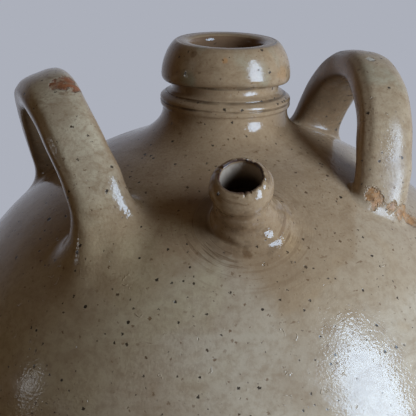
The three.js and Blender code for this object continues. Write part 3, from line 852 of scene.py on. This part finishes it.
def stoneware(name, look, marks=(), worn=None, wash=None, loop=None, frost=1.0):
    """The speckled salt glaze, with bare clay at the marks and at a worn lip, or a wash in its place."""
    material = bpy.data.materials.new(name)
    wiring = Wiring(material)
    tone, spots = iron_specks(wiring, look, glaze_tone(wiring, look, wash, loop))
    tone, wiped, shade_and_grime = wiped_foot(wiring, look, tone)
    bare = None
    if marks:
        tone, bare = bare_clay(wiring, tone, marks)
    if worn:
        tone, bare = worn_lip(wiring, look, tone, worn)

    rough = look.roughness * frost
    shine = wiring.ramp(wiring.clouds(55, 3, 0.6), 0.35, 0.75, start=rough * 0.8, end=rough * 1.9)
    shine = wiring.blend(spots, shine, rough * 2)
    shine = wiring.shifted(shade_and_grime, 0.3, shine)
    hollow = wiring.shifted(wiped, -0.9, wiring.times(spots, -0.3))
    if bare is not None:
        shine = wiring.blend(bare, shine, 0.45)
        hollow = wiring.shifted(bare, -4.0, hollow)
    skin = skin_height(wiring, hollow)
    bump = wiring.add("ShaderNodeBump", {}, {"Height": skin, "Distance": look.ripple, "Strength": 1.0})
    surface = wiring.add("ShaderNodeBsdfPrincipled", {}, {
        "Base Color": tone,
        "Roughness": shine,
        "Normal": bump.outputs[0],
        "IOR": 1.45,
    })
    wiring.add("ShaderNodeOutputMaterial", {}, {"Surface": surface.outputs[0]})
    return material


def glaze_of(name, **settings):
    """The named material, made on its first use."""
    material = bpy.data.materials.get(name)
    if material is None:
        material = stoneware(name, bpy.context.scene.jug_glaze, **settings)
    return material


# Thrown pot

# The floor inside turns up over this many of its thicknesses inwards, and up to this many high
FLOOR_TURN = 2.2
FLOOR_RISE = 2

# Share of the collar's rise over which its side stays upright
COLLAR_UPRIGHT = 0.46

# A face looks inwards below the first of these, looks up above the second, and belongs to the floor up to the
# third times the floor's thickness
LOOKS_IN = -0.2
LOOKS_UP = 0.5
FLOOR_REACH = 5


def lower_wall(pot, inset, steps):
    """The lower wall's curve from the heel up to the belly, moved inwards by the inset."""
    lean = Vector((math.sin(pot.foot_slope), math.cos(pot.foot_slope))) * pot.foot_pull
    heel = (pot.foot_radius, pot.heel_round)
    pulled = (heel[0] + lean.x, heel[1] + lean.y)
    upright = (pot.radius, pot.belly_height - pot.belly_pull)
    places = stroke(heel, pulled, upright, (pot.radius, pot.belly_height), steps)
    if not inset:
        return places
    moved = []
    for i, place in enumerate(places):
        along = places[min(i + 1, steps - 1)] - places[max(i - 1, 0)]
        along.normalize()
        moved.append(place + inset * Vector((-along.z, 0, along.x)))
    moved[-1] = Vector((pot.radius - inset, 0, pot.belly_height))
    return moved


def lower_body_profile(pot):
    """From the middle of the base round the wall to the middle of the floor inside."""
    flat = pot.foot_radius - pot.heel_round
    heel = rounded((flat, 0), (pot.foot_radius, 0), (pot.foot_radius, pot.heel_round), 8)
    inside = [place for place in lower_wall(pot, pot.wall, 48) if place.z > FLOOR_RISE * pot.floor]
    corner = inside[0]
    floor_edge = (corner.x - FLOOR_TURN * pot.floor, pot.floor)
    turn = rounded((corner.x, corner.z), (corner.x - pot.floor, pot.floor), floor_edge, 8)
    base = line((0, 0), (flat, 0), 12)
    bottom = line(floor_edge, (0, pot.floor), 8)
    return base + heel + lower_wall(pot, 0, 72) + inside[::-1] + turn + bottom


def arc(radius, centre, low, high, steps):
    """A profile's round arc between two angles up from level."""
    angles = [low + (high - low) * i / (steps - 1) for i in range(steps)]
    return [Vector((radius * math.cos(a), 0, centre + radius * math.sin(a))) for a in angles]


def shoulder_profile(pot):
    """The dome from the belly up to a little under the neck's flare, and back down inside."""
    under_flare = 0.006
    top = math.acos((pot.seat_radius - under_flare) / pot.radius)
    inner = pot.radius - pot.wall
    inner_top = math.asin((seat_height(pot) - pot.belly_height) / inner)
    outside = arc(pot.radius, pot.belly_height, 0, top, 96)
    inside = arc(inner, pot.belly_height, inner_top, 0, 46)
    return outside + inside


def cut_line(start, end, depth):
    """A line cut into a profile between two of its points."""
    middle = Vector((start[0] + end[0], start[1] + end[1])) / 2
    run = Vector((end[0] - start[0], end[1] - start[1])).normalized()
    floor = middle + 2 * depth * Vector((-run.y, run.x))
    return rounded(start, floor, end, 7)


def neck_profile(pot):
    """Flare, ring with its turned lines, groove, collar and mouth, and down the bore."""
    seat = seat_height(pot)
    heights = neck_heights(pot)
    throat = pot.neck_radius - pot.line_depth
    waist = pot.neck_radius - pot.groove_depth
    lip = pot.mouth_radius + pot.lip_width
    slope = math.tan(math.asin(pot.seat_radius / pot.radius))
    corner = (throat, seat + (pot.seat_radius - throat) * slope)
    ring_foot = near((pot.neck_radius, heights["line_low"]), 2, 4)
    throat_top = near((throat, ring_foot[1]), 0, -20)
    ring_side = near(ring_foot, 0, 22)
    ring_side_end = (ring_side[0], ring_side[1] + pot.cut_width)
    ring_top = (ring_foot[0], heights["ring_edge"])
    ring_edge = near(ring_top, -8, 12)
    shelf = near(ring_top, -22, 22)
    shelf_end = (shelf[0] - 0.8 * pot.cut_width, shelf[1] + 0.6 * pot.cut_width)
    groove = (waist, heights["groove"])
    groove_top = (waist, heights["groove_top"])
    collar_low = (pot.collar_radius, heights["groove_top"])
    collar = (pot.collar_radius, heights["bulge"])
    lip_top = (lip, heights["top"])
    lip_line = (lip, heights["top"] - pot.lip_line)
    mouth = (pot.mouth_radius, heights["top"])
    places = rounded(near((pot.seat_radius, seat), 0, -0.2), corner, throat_top, 30)
    places += drawn(throat_top, (
        (near(throat_top, 0, 16), near(ring_foot, -10, -3), near(ring_foot, -3, 3), 10),
        (near(ring_foot, 0, 6), near(ring_foot, 0, 12), ring_side, 6),
    ))
    places += cut_line(ring_side, ring_side_end, pot.cut_depth)
    places += stroke(ring_side_end, near(ring_top, 1, 3), near(ring_top, -1, 8), ring_edge, 8)
    places += line(ring_edge, shelf, 4)
    places += cut_line(shelf, shelf_end, pot.cut_depth)
    places += stroke(shelf_end, near(groove, 16, -2), groove, near(groove, 0, 14), 10)
    places += drawn(near(groove_top, 0, -8), (
        (near(groove_top, 1, 0), near(groove_top, 15, 1), near(groove_top, 30, 4), 8),
        (near(collar_low, -4, 9), near(collar, 0, -16), near(collar, 0, -2), 14),
        ((collar[0], collar[1] + pot.collar_rise * COLLAR_UPRIGHT),
         near(((collar[0] + lip) / 2, lip_top[1]), -5, -3), near(lip_top, 6, 0), 26),
        (near(lip_line, 1, 0), near(lip_line, -1, 0), near(lip_top, -6, 0), 6),
        (near(lip_top, -26, 1), near(mouth, 0, 1), near(mouth, 0, -32), 14),
    ))
    return places + line(near(mouth, 0, -32), (pot.mouth_radius, seat), 24)


def paint_inside(clay, floor, top):
    """Gives the faces that look into the jug, below the top, the second material."""
    for face in clay.faces:
        middle = face.calc_center_median()
        if middle.z > top:
            continue
        out = Vector((middle.x, middle.y, 0)).normalized()
        faces_in = face.normal.dot(out) < LOOKS_IN
        is_floor = face.normal.z > LOOKS_UP and middle.z < FLOOR_REACH * floor
        if faces_in or is_floor:
            face.material_index = 1


# Depth under the spout's foot within which the hole is cut, and height of glaze inside the mouth
HOLE_DEPTH = 0.05
GLAZED_MOUTH = 0.0010


def spout_place(pot, spout):
    """The spout's own frame: its foot on the shoulder and Z along its bore."""
    turn = Matrix.Rotation(spout.tilt, 4, "X") @ Matrix.Rotation(spout.side_lean, 4, "Y")
    return Matrix.Translation(on_shoulder(pot, 0, spout.polar)) @ turn


def pierce(clay, place, radius):
    """Cuts the spout's hole through the shoulder's wall."""
    to_bore = place.inverted()
    inside = []
    for face in clay.faces:
        local = to_bore @ face.calc_center_median()
        if local.z > -HOLE_DEPTH and math.hypot(local.x, local.y) < radius:
            inside.append(face)
    bmesh.ops.delete(clay, geom=inside, context="FACES")
    rim = [edge for edge in clay.edges if edge.is_boundary]
    for vert in {vert for edge in rim for vert in edge.verts}:
        local = to_bore @ vert.co
        reach = math.hypot(local.x, local.y)
        vert.co = place @ Vector((local.x * radius / reach, local.y * radius / reach, local.z))
    bmesh.ops.bridge_loops(clay, edges=rim)
    bmesh.ops.recalc_face_normals(clay, faces=clay.faces)


class ThrowPot(bpy.types.Operator):
    """Throws the lower body, the shoulder and the neck."""

    bl_idname = "oil_jug.throw_pot"
    bl_label = "Throw pot"

    def execute(self, context):
        pot = context.scene.jug_pot
        spout = context.scene.jug_spout
        look = context.scene.jug_glaze
        glaze = glaze_of("speckled_glaze", marks=marks_of(BARE_FOOT, look.clay))
        looks = [glaze, glaze_of("inside_wash", wash=look.inside)]
        glazed_mouth = neck_heights(pot)["top"] - GLAZED_MOUTH
        lower = turned(lower_body_profile(pot), pot.steps, False)
        paint_inside(lower, pot.floor, glazed_mouth)
        hand_thrown(lower, pot)
        make_piece("thrown_lower_body", lower, looks, ["lower_body"])
        dome = turned(shoulder_profile(pot), pot.steps, True)
        pierce(dome, spout_place(pot, spout), spout.bore + spout.wall / 2)
        paint_inside(dome, pot.floor, glazed_mouth)
        hand_thrown(dome, pot)
        make_piece("thrown_shoulder", dome, looks, ["shoulder"])
        neck = turned(neck_profile(pot), pot.steps, True)
        paint_inside(neck, pot.floor, glazed_mouth)
        hand_thrown(neck, pot)
        looks = [glaze, glaze_of("throat_wash", wash=look.throat)]
        make_piece("turned_neck", neck, looks, ["neck"])
        return {"FINISHED"}


# Spout

def spout_profile(pot, spout):
    """From the wiped edge up over the foot, the cup and the lip, down the bore and back under the foot."""
    tube = spout.bore + spout.wall
    edge = (tube + spout.foot_spread, 0)
    foot = (tube, 0)
    crease = (tube, spout.foot_height)
    cup = (tube + spout.bulge, spout.foot_height)
    brim = (cup[0], spout.length)
    mouth = (spout.bore + spout.mouth_flare, spout.length)
    bore = (spout.bore, spout.length)
    bore_low = near((spout.bore, -pot.wall), 0, -6)
    places = drawn(near(edge, 0, -0.3), (
        (near(edge, -85, -0.3), near(foot, 70, 12), near(foot, 57, 24), 18),
        (near(foot, 51, 30), near(foot, 48, 42), near(foot, 41, 50), 8),
        (near(foot, 33, 58), near(crease, 20, -72), near(crease, 13, -44), 10),
        (near(crease, 10, -28), near(crease, 7, -14), near(crease, 4, -6), 8),
        (near(crease, 1, -2), near(crease, 1, 2), near(crease, 2, 8), 6),
        (near(crease, 6, 32), near(cup, 2, 44), near(cup, 0, 74), 14),
        (near(brim, -1, -30), near(mouth, 24, -10), near(mouth, 7, -1), 16),
        (near(mouth, 3, 1), mouth, near(mouth, 0, -6), 7),
        (near(mouth, 0, -40), near(bore, 2, -90), near(bore, 0, -140), 12),
    ))
    under = (spout.bore + spout.wall * 0.6, bore_low[1])
    places += line(near(bore, 0, -140), bore_low, 16)
    places += line(bore_low, under, 3)
    places += line(under, near(foot, 20, -40), 4)
    return places + line(near(foot, 20, -40), near(edge, 0, -18), 8)


def shoulder_drop(pot, place, local):
    """How far the round shoulder falls away, along the spout's axis, from the plane of its foot."""
    from_ball = place.translation - ball_centre(pot)
    axis = place.col[2].xyz
    off = place.col[0].xyz * local.x + place.col[1].xyz * local.y
    rise = from_ball.dot(axis)
    return math.sqrt(rise * rise - off.length_squared - 2 * from_ball.dot(off)) - rise


# Hand-made unevenness of the spout: ripple of its wall and its scales round and up, share of it in the bore,
# scale and floor of the chips in the lip and how far down they reach, shares of the foot wiped in on the
# left, pulled out at the right and pushed in at the front, and how far to the left the wiping sets in
SPOUT_RIPPLE = 0.0004
SPOUT_RIPPLE_SCALES = (2.2, 120)
BORE_RIPPLE = 0.4
CHIP_SCALE = 8.5
CHIP_SEED = Vector((3, 1, 0))
CHIP_FLOOR = 0.05
CHIP_REACH = 0.0022
WIPED_IN = 0.45
PULLED_OUT = 0.10
PUSHED_IN = 0.10
WIPED_SIDE = (-0.5, 0.7)

# Heights on the spout: where it starts to leave the shoulder's curve and how far over the crease it has
# left it, where the wiped foot sets in and starts to end, and where the ripple sets in. The last is how
# near to the bore the ripple is weaker.
LAID_FROM = 0.001
LAID_OVER_CREASE = 0.006
FOOT_FROM = (0.0002, 0.002)
FOOT_ENDS = 0.006
RIPPLE_FROM = (0.0005, 0.004)
NEAR_BORE = 0.0005


def handle_spout(clay, pot, spout, place):
    """Lays the spout's foot on the round shoulder and takes the truth out of its tube, lip and foot."""
    tube = spout.bore + spout.wall
    for vert in clay.verts:
        local = vert.co.copy()
        laid = 1 - soft_step(local.z, LAID_FROM, spout.foot_height + LAID_OVER_CREASE)
        reach = math.hypot(local.x, local.y)
        around = Vector((local.x, local.y, 0)).normalized() if reach > SAME_PLACE else Vector()
        ripple_place = around * SPOUT_RIPPLE_SCALES[0] + Vector((0, 0, local.z * SPOUT_RIPPLE_SCALES[1]))
        ripple = noise.noise(ripple_place) * SPOUT_RIPPLE
        chip = soft_step(local.z, spout.length - CHIP_REACH, spout.length) * spout.chip_depth
        chip *= max(0, noise.noise(around * CHIP_SCALE + CHIP_SEED) - CHIP_FLOOR)
        on_foot = soft_step(local.z, *FOOT_FROM) * (1 - soft_step(local.z, FOOT_ENDS, spout.foot_height))
        wiped = WIPED_IN * soft_step(-around.x, *WIPED_SIDE) * on_foot
        drop = shoulder_drop(pot, place, local)
        open_clay = soft_step(local.z, *RIPPLE_FROM)
        local += around * ripple * open_clay * (1 if reach > spout.bore + NEAR_BORE else BORE_RIPPLE)
        local -= around * max(0, reach - tube) * wiped
        local.x += PULLED_OUT * max(0, local.x) * on_foot
        local.y -= PUSHED_IN * min(0, local.y) * on_foot
        local.z += drop * laid - chip
        vert.co = local


class StickSpout(bpy.types.Operator):
    """Makes the spout, with its foot wiped onto the shoulder."""

    bl_idname = "oil_jug.stick_spout"
    bl_label = "Stick spout"

    def execute(self, context):
        pot = context.scene.jug_pot
        spout = context.scene.jug_spout
        look = context.scene.jug_glaze
        place = spout_place(pot, spout)
        clay = turned(spout_profile(pot, spout), spout.steps, True)
        # Faces down the bore below its glazed part take the dark inside wash, as painted shade deep in the
        # spout
        for face in clay.faces:
            middle = face.calc_center_median()
            out = Vector((middle.x, middle.y, 0)).normalized()
            if face.normal.dot(out) < -0.5 and middle.z < spout.length - spout.glazed_bore:
                face.material_index = 1
        handle_spout(clay, pot, spout, place)
        bmesh.ops.transform(clay, matrix=place, verts=clay.verts)
        hand_thrown(clay, pot)
        axis = place.col[2].xyz
        tip = place @ Vector((0, 0, spout.length))
        mouth = spout.bore + spout.mouth_flare
        worn = (tuple(tip), tuple(axis), mouth + WORN_INNER, mouth + WORN_OUTER, WORN_LOW)
        outside = glaze_of("worn_spout_glaze", worn=worn, frost=0.75)
        looks = [outside, glaze_of("inside_wash", wash=look.inside)]
        make_piece("spout_with_foot", clay, looks, ["spout", "spout_clay_collar"])
        return {"FINISHED"}


# Handles

# Steps along the arch for its direction and for the leg's slope, and where its feet are searched for
ARCH_STEP = 0.001
LEG_STEP = 0.004
FRONT_SEARCH = (-0.3, 0.4)
BACK_SEARCH = (1.3, 0.6)
SEARCH_TIMES = 40

# Share of its length over which a wiped foot keeps the slope of the shoulder and of the leg
FOOT_PULL = 0.72
FOOT_STEPS = 18

# Lumps of the clay round a foot to a metre
LUMP_SCALE = 210

# How far to its outer side and downhill a foot's flare and run set in
FLARED_SIDE = (0.5, 0.95)
RUN_SIDE = (0.1, 1)


class Loop:
    """The path and section of one strap handle on the shoulder."""

    def __init__(self, pot, strap, handle):
        front = on_shoulder(pot, handle.front_around, handle.front_polar)
        back = on_shoulder(pot, handle.back_around, handle.back_polar)
        along = (back - front).normalized()
        up = (AXIS - along * along.z).normalized()
        middle = (front + back) / 2
        outwards = math.copysign(1, up.cross(along).dot(middle))
        up.rotate(Quaternion(along, -outwards * handle.lean))
        peak = up * handle.height * 4 / 3
        self.pot = pot
        self.strap = strap
        self.handle = handle
        self.across = up.cross(along)
        self.outer = self.across * outwards
        self.middle = middle
        self.knots = [
            front,
            middle + along * (handle.skew - handle.top_width) + peak,
            middle + along * (handle.skew + handle.top_width) + peak,
            back,
        ]

    def centre(self, t):
        """A point of the strap's middle line. It runs on straight past its ends."""
        a, b, c, d = self.knots
        if t < 0:
            return a + (b - a) * 3 * t
        if t > 1:
            return d + (d - c) * 3 * (t - 1)
        s = 1 - t
        return a * s ** 3 + b * 3 * s * s * t + c * 3 * s * t * t + d * t ** 3

    def skin(self, t, turn):
        """A point of the strap's surface, by its place along the arch and its turn round the section."""
        along = (self.centre(t + ARCH_STEP) - self.centre(t - ARCH_STEP)).normalized()
        through = self.across.cross(along)
        power = 2 / self.strap.squareness
        wide = math.copysign(abs(math.cos(turn)) ** power, math.cos(turn)) * self.strap.width / 2
        thick = math.copysign(abs(math.sin(turn)) ** power, math.sin(turn)) * self.strap.thickness / 2
        return self.centre(t) + self.across * wide + through * thick

    def over_shoulder(self, point):
        """Height of a point over the round shoulder."""
        return (point - ball_centre(self.pot)).length - self.pot.radius

    def reaches(self, turn, rise, is_back):
        """Where along the arch a line of the strap's surface is the given rise over the shoulder."""
        low, high = BACK_SEARCH if is_back else FRONT_SEARCH
        for _ in range(SEARCH_TIMES):
            middle = (low + high) / 2
            if self.over_shoulder(self.skin(middle, turn)) < rise:
                low = middle
            else:
                high = middle
        return (low + high) / 2

    def laid(self, point, depth):
        """A point moved straight onto the shoulder, and below it by the depth."""
        out = point - ball_centre(self.pot)
        return ball_centre(self.pot) + out * ((self.pot.radius - depth) / out.length)

    def foot(self, turn, is_back, steps):
        """Points of the wiped clay along one line, from its edge on the shoulder up to the leg."""
        handle = self.handle
        lumps = 0 if is_back else handle.front_lumps
        spread = handle.back_spread if is_back else handle.front_spread
        run = handle.back_run if is_back else handle.front_run
        rise = handle.back_rise if is_back else handle.front_rise
        meets = self.skin(self.reaches(turn, 0, is_back), turn)
        root = self.laid(self.knots[3] if is_back else self.knots[0], 0)
        normal = (root - ball_centre(self.pot)).normalized()
        out = meets - root
        out = (out - normal * out.dot(normal)).normalized()
        if not is_back:
            rise += handle.front_flare * soft_step(out.dot(self.outer), *FLARED_SIDE)
        join = self.reaches(turn, rise, is_back)
        leg = self.skin(join, turn)
        downhill = (normal * normal.z - AXIS).normalized()
        reach = spread + run * soft_step(out.dot(downhill), *RUN_SIDE)
        edge = self.laid(meets + out * reach, self.strap.bury)
        level = (edge - ball_centre(self.pot)).normalized()
        inwards = meets - edge
        inwards -= level * inwards.dot(level)
        step = LEG_STEP if is_back else -LEG_STEP
        down = (self.skin(join + step, turn) - leg).normalized()
        bend = down * (leg - meets).length * FOOT_PULL
        places = interpolate_bezier(edge, edge + inwards * FOOT_PULL, leg + bend, leg, steps)
        for i, place in enumerate(places):
            fade = math.sin(math.pi * i / (steps - 1))
            place += normal * lumps * fade * noise.noise(place * LUMP_SCALE)
        return places, join


# Swelling left by a thumb: its middle over the shoulder, its width and its place along the arch
KNUCKLE_HEIGHT = 0.0165
KNUCKLE_WIDTH = 0.0034
KNUCKLE_PLACE = 0.1

# Unevenness of a pulled strap: swells to a metre and their height, lines round it and along it and theirs
STRAP_SWELL_SCALE = 55
STRAP_SWELL = 0.0005
STRAP_LINE_ROUND = 2.5
STRAP_LINE_ALONG = 1.3
STRAP_LINE = 0.0004

# Rings from each foot over which the unevenness fades in
STRAP_FADE = 12


def pull_strap(loop):
    """Sweeps the section over the arch, ring by ring, with a wiped foot at each end."""
    strap = loop.strap
    lines = []
    for i in range(strap.sides):
        turn = math.tau * i / strap.sides
        front, front_join = loop.foot(turn, False, FOOT_STEPS)
        back, back_join = loop.foot(turn, True, FOOT_STEPS)
        between = []
        for j in range(1, strap.steps):
            t = front_join + (back_join - front_join) * j / strap.steps
            place = loop.skin(t, turn)
            swell = noise.noise(place * STRAP_SWELL_SCALE) * STRAP_SWELL
            round_strap = Vector((math.cos(turn), math.sin(turn), 0)) * STRAP_LINE_ROUND
            pulled = noise.noise(round_strap + AXIS * t * STRAP_LINE_ALONG) * STRAP_LINE
            fade = soft_step(min(j, strap.steps - j), 0, STRAP_FADE)
            between.append(place + (place - loop.centre(t)).normalized() * (swell + pulled) * fade)
        outside = (loop.skin(KNUCKLE_PLACE, turn) - loop.centre(KNUCKLE_PLACE)).normalized()
        for place in front + between[:strap.steps // 2]:
            height = loop.over_shoulder(place)
            swelling = math.exp(-((height - KNUCKLE_HEIGHT) / KNUCKLE_WIDTH) ** 2)
            place += outside * loop.handle.knuckle * swelling
        lines.append(front + between + back[::-1])
    clay = bmesh.new()
    mark = clay.verts.layers.int.new("line")
    first = bmesh.ops.create_circle(clay, segments=strap.sides, radius=strap.width / 2)["verts"]
    for i, vert in enumerate(first):
        vert[mark] = i
        vert.co = lines[i][0]
    rim = list(clay.edges)
    bmesh.ops.contextual_create(clay, geom=rim)
    for ring in range(1, len(lines[0])):
        grown = bmesh.ops.extrude_edge_only(clay, edges=rim)["geom"]
        new_verts = [item for item in grown if isinstance(item, bmesh.types.BMVert)]
        rim = [item for item in grown if isinstance(item, bmesh.types.BMEdge) and item.is_boundary]
        for vert in new_verts:
            vert.co = lines[vert[mark]][ring]
    bmesh.ops.contextual_create(clay, geom=rim)
    bmesh.ops.recalc_face_normals(clay, faces=clay.faces)
    hand_thrown(clay, loop.pot)
    return clay


# Chips and scars in the glaze of the handles: middle and radius in metres
LEFT_CHIPS = (
    ((-0.0712, -0.0325, 0.3342), 0.0054),
    ((-0.0665, -0.0348, 0.3320), 0.0030),
    ((-0.0752, -0.0338, 0.3330), 0.0026),
)
RIGHT_SCARS = (((0.0633, -0.0156, 0.3382), 0.0020),)


def marks_of(places, paint):
    """Marks of one colour at the places."""
    return [(middle, radius, tuple(paint)) for middle, radius in places]


class PullHandles(bpy.types.Operator):
    """Pulls the two strap handles and wipes their feet onto the shoulder."""

    bl_idname = "oil_jug.pull_handles"
    bl_label = "Pull handles"

    def execute(self, context):
        scene = context.scene
        look = scene.jug_glaze
        left_marks = marks_of(LEFT_CHIPS, look.chip)
        right_marks = marks_of(RIGHT_SCARS, look.scar) + marks_of(BARE_FOOT, look.clay)
        handles = (
            ("left", scene.jug_left_handle, left_marks, 1.0),
            ("right", scene.jug_right_handle, right_marks, 1.9),
        )
        for side, handle, marks, frost in handles:
            loop = Loop(scene.jug_pot, scene.jug_strap, handle)
            strap = pull_strap(loop)
            glaze = glaze_of(f"{side}_handle_glaze", marks=marks, loop=loop, frost=frost)
            nodes = [f"{side}_handle{part}" for part in ("", "_front_collar", "_back_collar")]
            make_piece(f"{side}_strap_handle", strap, [glaze], nodes)
        return {"FINISHED"}


# Stage

# Camera fitted to the photo, in metres and radians, with its lens in millimetres
CAMERA_PLACE = (-0.0583, -0.5294, 0.4396)
CAMERA_TURN = (math.radians(72), 0, math.radians(-5.5))
CAMERA_LENS = 103.85

# The round floor, how far it lies under the jug, and how much of the backdrop's colour it shows the camera
FLOOR_RADIUS = 0.62
FLOOR_STEPS = 96
FLOOR_GAP = 0.0004
FLOOR_GLOW = 0.85

# The pale wall behind: its turn to the right, its side and upper edge from none to full, the share of it that
# goes on above that, and how strongly it lights the jug
WALL_TURN = 0.35
WALL_SIDE = (0.0, 0.8)
WALL_TOP = (0.75, 0.2)
WALL_ABOVE = 0.25
WALL_FILL = 0.4

# Each light: degrees round from the front and up from level, its distance, and its panes. A pane has a shift
# to the right, a shift up, a width and a height.
WINDOW = (50, 12.5, 1.2, ((0.03, 0.47, 0.27, 0.2), (0, -0.065, 0.52, 0.87)))
DOOR = (-82, 10, 1.3, ((0, 0, 0.13, 0.19),))
LIT_POINT = Vector((0, 0, 0.26))


def add_window(name, window, power, tint):
    """Area lamps, one for each pane, in a plane that faces the jug's shoulder."""
    around, up, distance, panes = window
    around, up = math.radians(around), math.radians(up)
    level = Vector((math.sin(around), -math.cos(around), 0))
    away = level * math.cos(up) + AXIS * math.sin(up)
    turn = away.to_track_quat("Z", "Y")
    for i, (right, rise, width, height) in enumerate(panes):
        lamp = bpy.data.lights.new(f"{name}_{i}", "AREA")
        lamp.shape = "RECTANGLE"
        lamp.size, lamp.size_y = width, height
        lamp.energy = power * width * height
        lamp.color = tint
        holder = bpy.data.objects.new(lamp.name, lamp)
        holder.location = LIT_POINT + distance * away + turn @ Vector((right, rise, 0))
        holder.rotation_euler = turn.to_euler()
        bpy.context.scene.collection.objects.link(holder)


def floor_look(look):
    """The floor's material: close to the backdrop's colour for the camera, with the jug's shadow on it."""
    material = bpy.data.materials.new("pale_floor")
    wiring = Wiring(material)
    matt = wiring.add("ShaderNodeBsdfPrincipled", {}, {"Base Color": tint(look.floor), "Roughness": 0.9})
    seen = wiring.add("ShaderNodeLightPath").outputs["Is Camera Ray"]
    strength = wiring.times(seen, FLOOR_GLOW)
    glow = wiring.add("ShaderNodeEmission", {}, {"Color": tint(look.backdrop), "Strength": strength})
    both = wiring.add("ShaderNodeAddShader", {}, {0: matt.outputs[0], 1: glow.outputs[0]})
    wiring.add("ShaderNodeOutputMaterial", {}, {"Surface": both.outputs[0]})
    return material


def room_look(look):
    """The world: the pale wall for the camera, and a dim warm room with that wall behind for all else."""
    world = bpy.data.worlds.new("pale_room")
    wiring = Wiring(world, "Generated")
    split = wiring.add("ShaderNodeSeparateXYZ", {}, {0: wiring.place})
    behind = wiring.shifted(split.outputs["X"], WALL_TURN, split.outputs["Y"])
    low = wiring.ramp(split.outputs["Z"], *WALL_TOP, start=WALL_ABOVE)
    wall = wiring.times(wiring.ramp(behind, *WALL_SIDE), low)
    mirrored = wiring.mix(wall, tint(look.shade), tint(look.backdrop))
    soft = wiring.mix(wall, tint(look.fill), tint(look.backdrop, WALL_FILL))
    path = wiring.add("ShaderNodeLightPath")
    tone = wiring.mix(path.outputs["Is Diffuse Ray"], mirrored, soft)
    tone = wiring.mix(path.outputs["Is Camera Ray"], tone, tint(look.backdrop))
    light = wiring.add("ShaderNodeBackground", {}, {"Color": tone})
    wiring.add("ShaderNodeOutputWorld", {}, {"Surface": light.outputs[0]})
    return world


class SetStage(bpy.types.Operator):
    """Sets the floor, the backdrop, the lights and the camera."""

    bl_idname = "oil_jug.set_stage"
    bl_label = "Set stage"

    def execute(self, context):
        scene = context.scene
        look = scene.jug_stage
        ground = bmesh.new()
        bmesh.ops.create_circle(ground, cap_ends=True, segments=FLOOR_STEPS, radius=FLOOR_RADIUS)
        bmesh.ops.translate(ground, vec=(0, 0, -FLOOR_GAP), verts=ground.verts)
        mesh = bpy.data.meshes.new("pale_floor")
        ground.to_mesh(mesh)
        ground.free()
        mesh.materials.append(floor_look(look))
        floor = bpy.data.objects.new("pale_floor", mesh)
        scene.collection.objects.link(floor)

        scene.world = room_look(look)

        add_window("window", WINDOW, look.window, look.window_colour)
        add_window("far_door", DOOR, look.door, look.door_colour)

        lens = bpy.data.cameras.new("photo_camera")
        lens.lens = CAMERA_LENS
        lens.sensor_width = 36
        camera = bpy.data.objects.new("photo_camera", lens)
        camera.location = CAMERA_PLACE
        camera.rotation_euler = CAMERA_TURN
        scene.collection.objects.link(camera)
        scene.camera = camera
        scene.view_settings.view_transform = "Standard"
        return {"FINISHED"}


class OilJugPanel(bpy.types.Panel):
    """Lists the jug's sizes and looks."""

    bl_idname = "VIEW3D_PT_oil_jug"
    bl_label = "Oil jug"
    bl_space_type = "VIEW_3D"
    bl_region_type = "UI"
    bl_category = "Oil jug"

    def draw(self, context):
        for name in GROUPS:
            box = self.layout.box()
            group = getattr(context.scene, name)
            for key in group.bl_rna.properties.keys():
                if key not in ("rna_type", "name"):
                    box.prop(group, key)
        for step in STEPS:
            self.layout.operator(step.bl_idname)


GROUPS = {
    "jug_pot": PotSizes,
    "jug_spout": SpoutSizes,
    "jug_strap": StrapSizes,
    "jug_left_handle": LeftHandleSizes,
    "jug_right_handle": RightHandleSizes,
    "jug_glaze": GlazeLook,
    "jug_stage": StageLook,
}
STEPS = (ThrowPot, StickSpout, PullHandles, SetStage)


def register():
    """Registers the classes and gives the scene their settings."""
    for group in GROUPS.values():
        bpy.utils.register_class(group)
    for step in STEPS:
        bpy.utils.register_class(step)
    bpy.utils.register_class(OilJugPanel)
    for name, group in GROUPS.items():
        setattr(bpy.types.Scene, name, PointerProperty(type=group))


def unregister():
    """Takes the settings and classes away again."""
    for name in GROUPS:
        delattr(bpy.types.Scene, name)
    bpy.utils.unregister_class(OilJugPanel)
    for step in STEPS[::-1]:
        bpy.utils.unregister_class(step)
    for group in reversed(GROUPS.values()):
        bpy.utils.unregister_class(group)


def main():
    """Builds the jug on its stage."""
    register()
    bpy.ops.oil_jug.throw_pot()
    bpy.ops.oil_jug.stick_spout()
    bpy.ops.oil_jug.pull_handles()
    bpy.ops.oil_jug.set_stage()


if __name__ == "__main__":
    main()
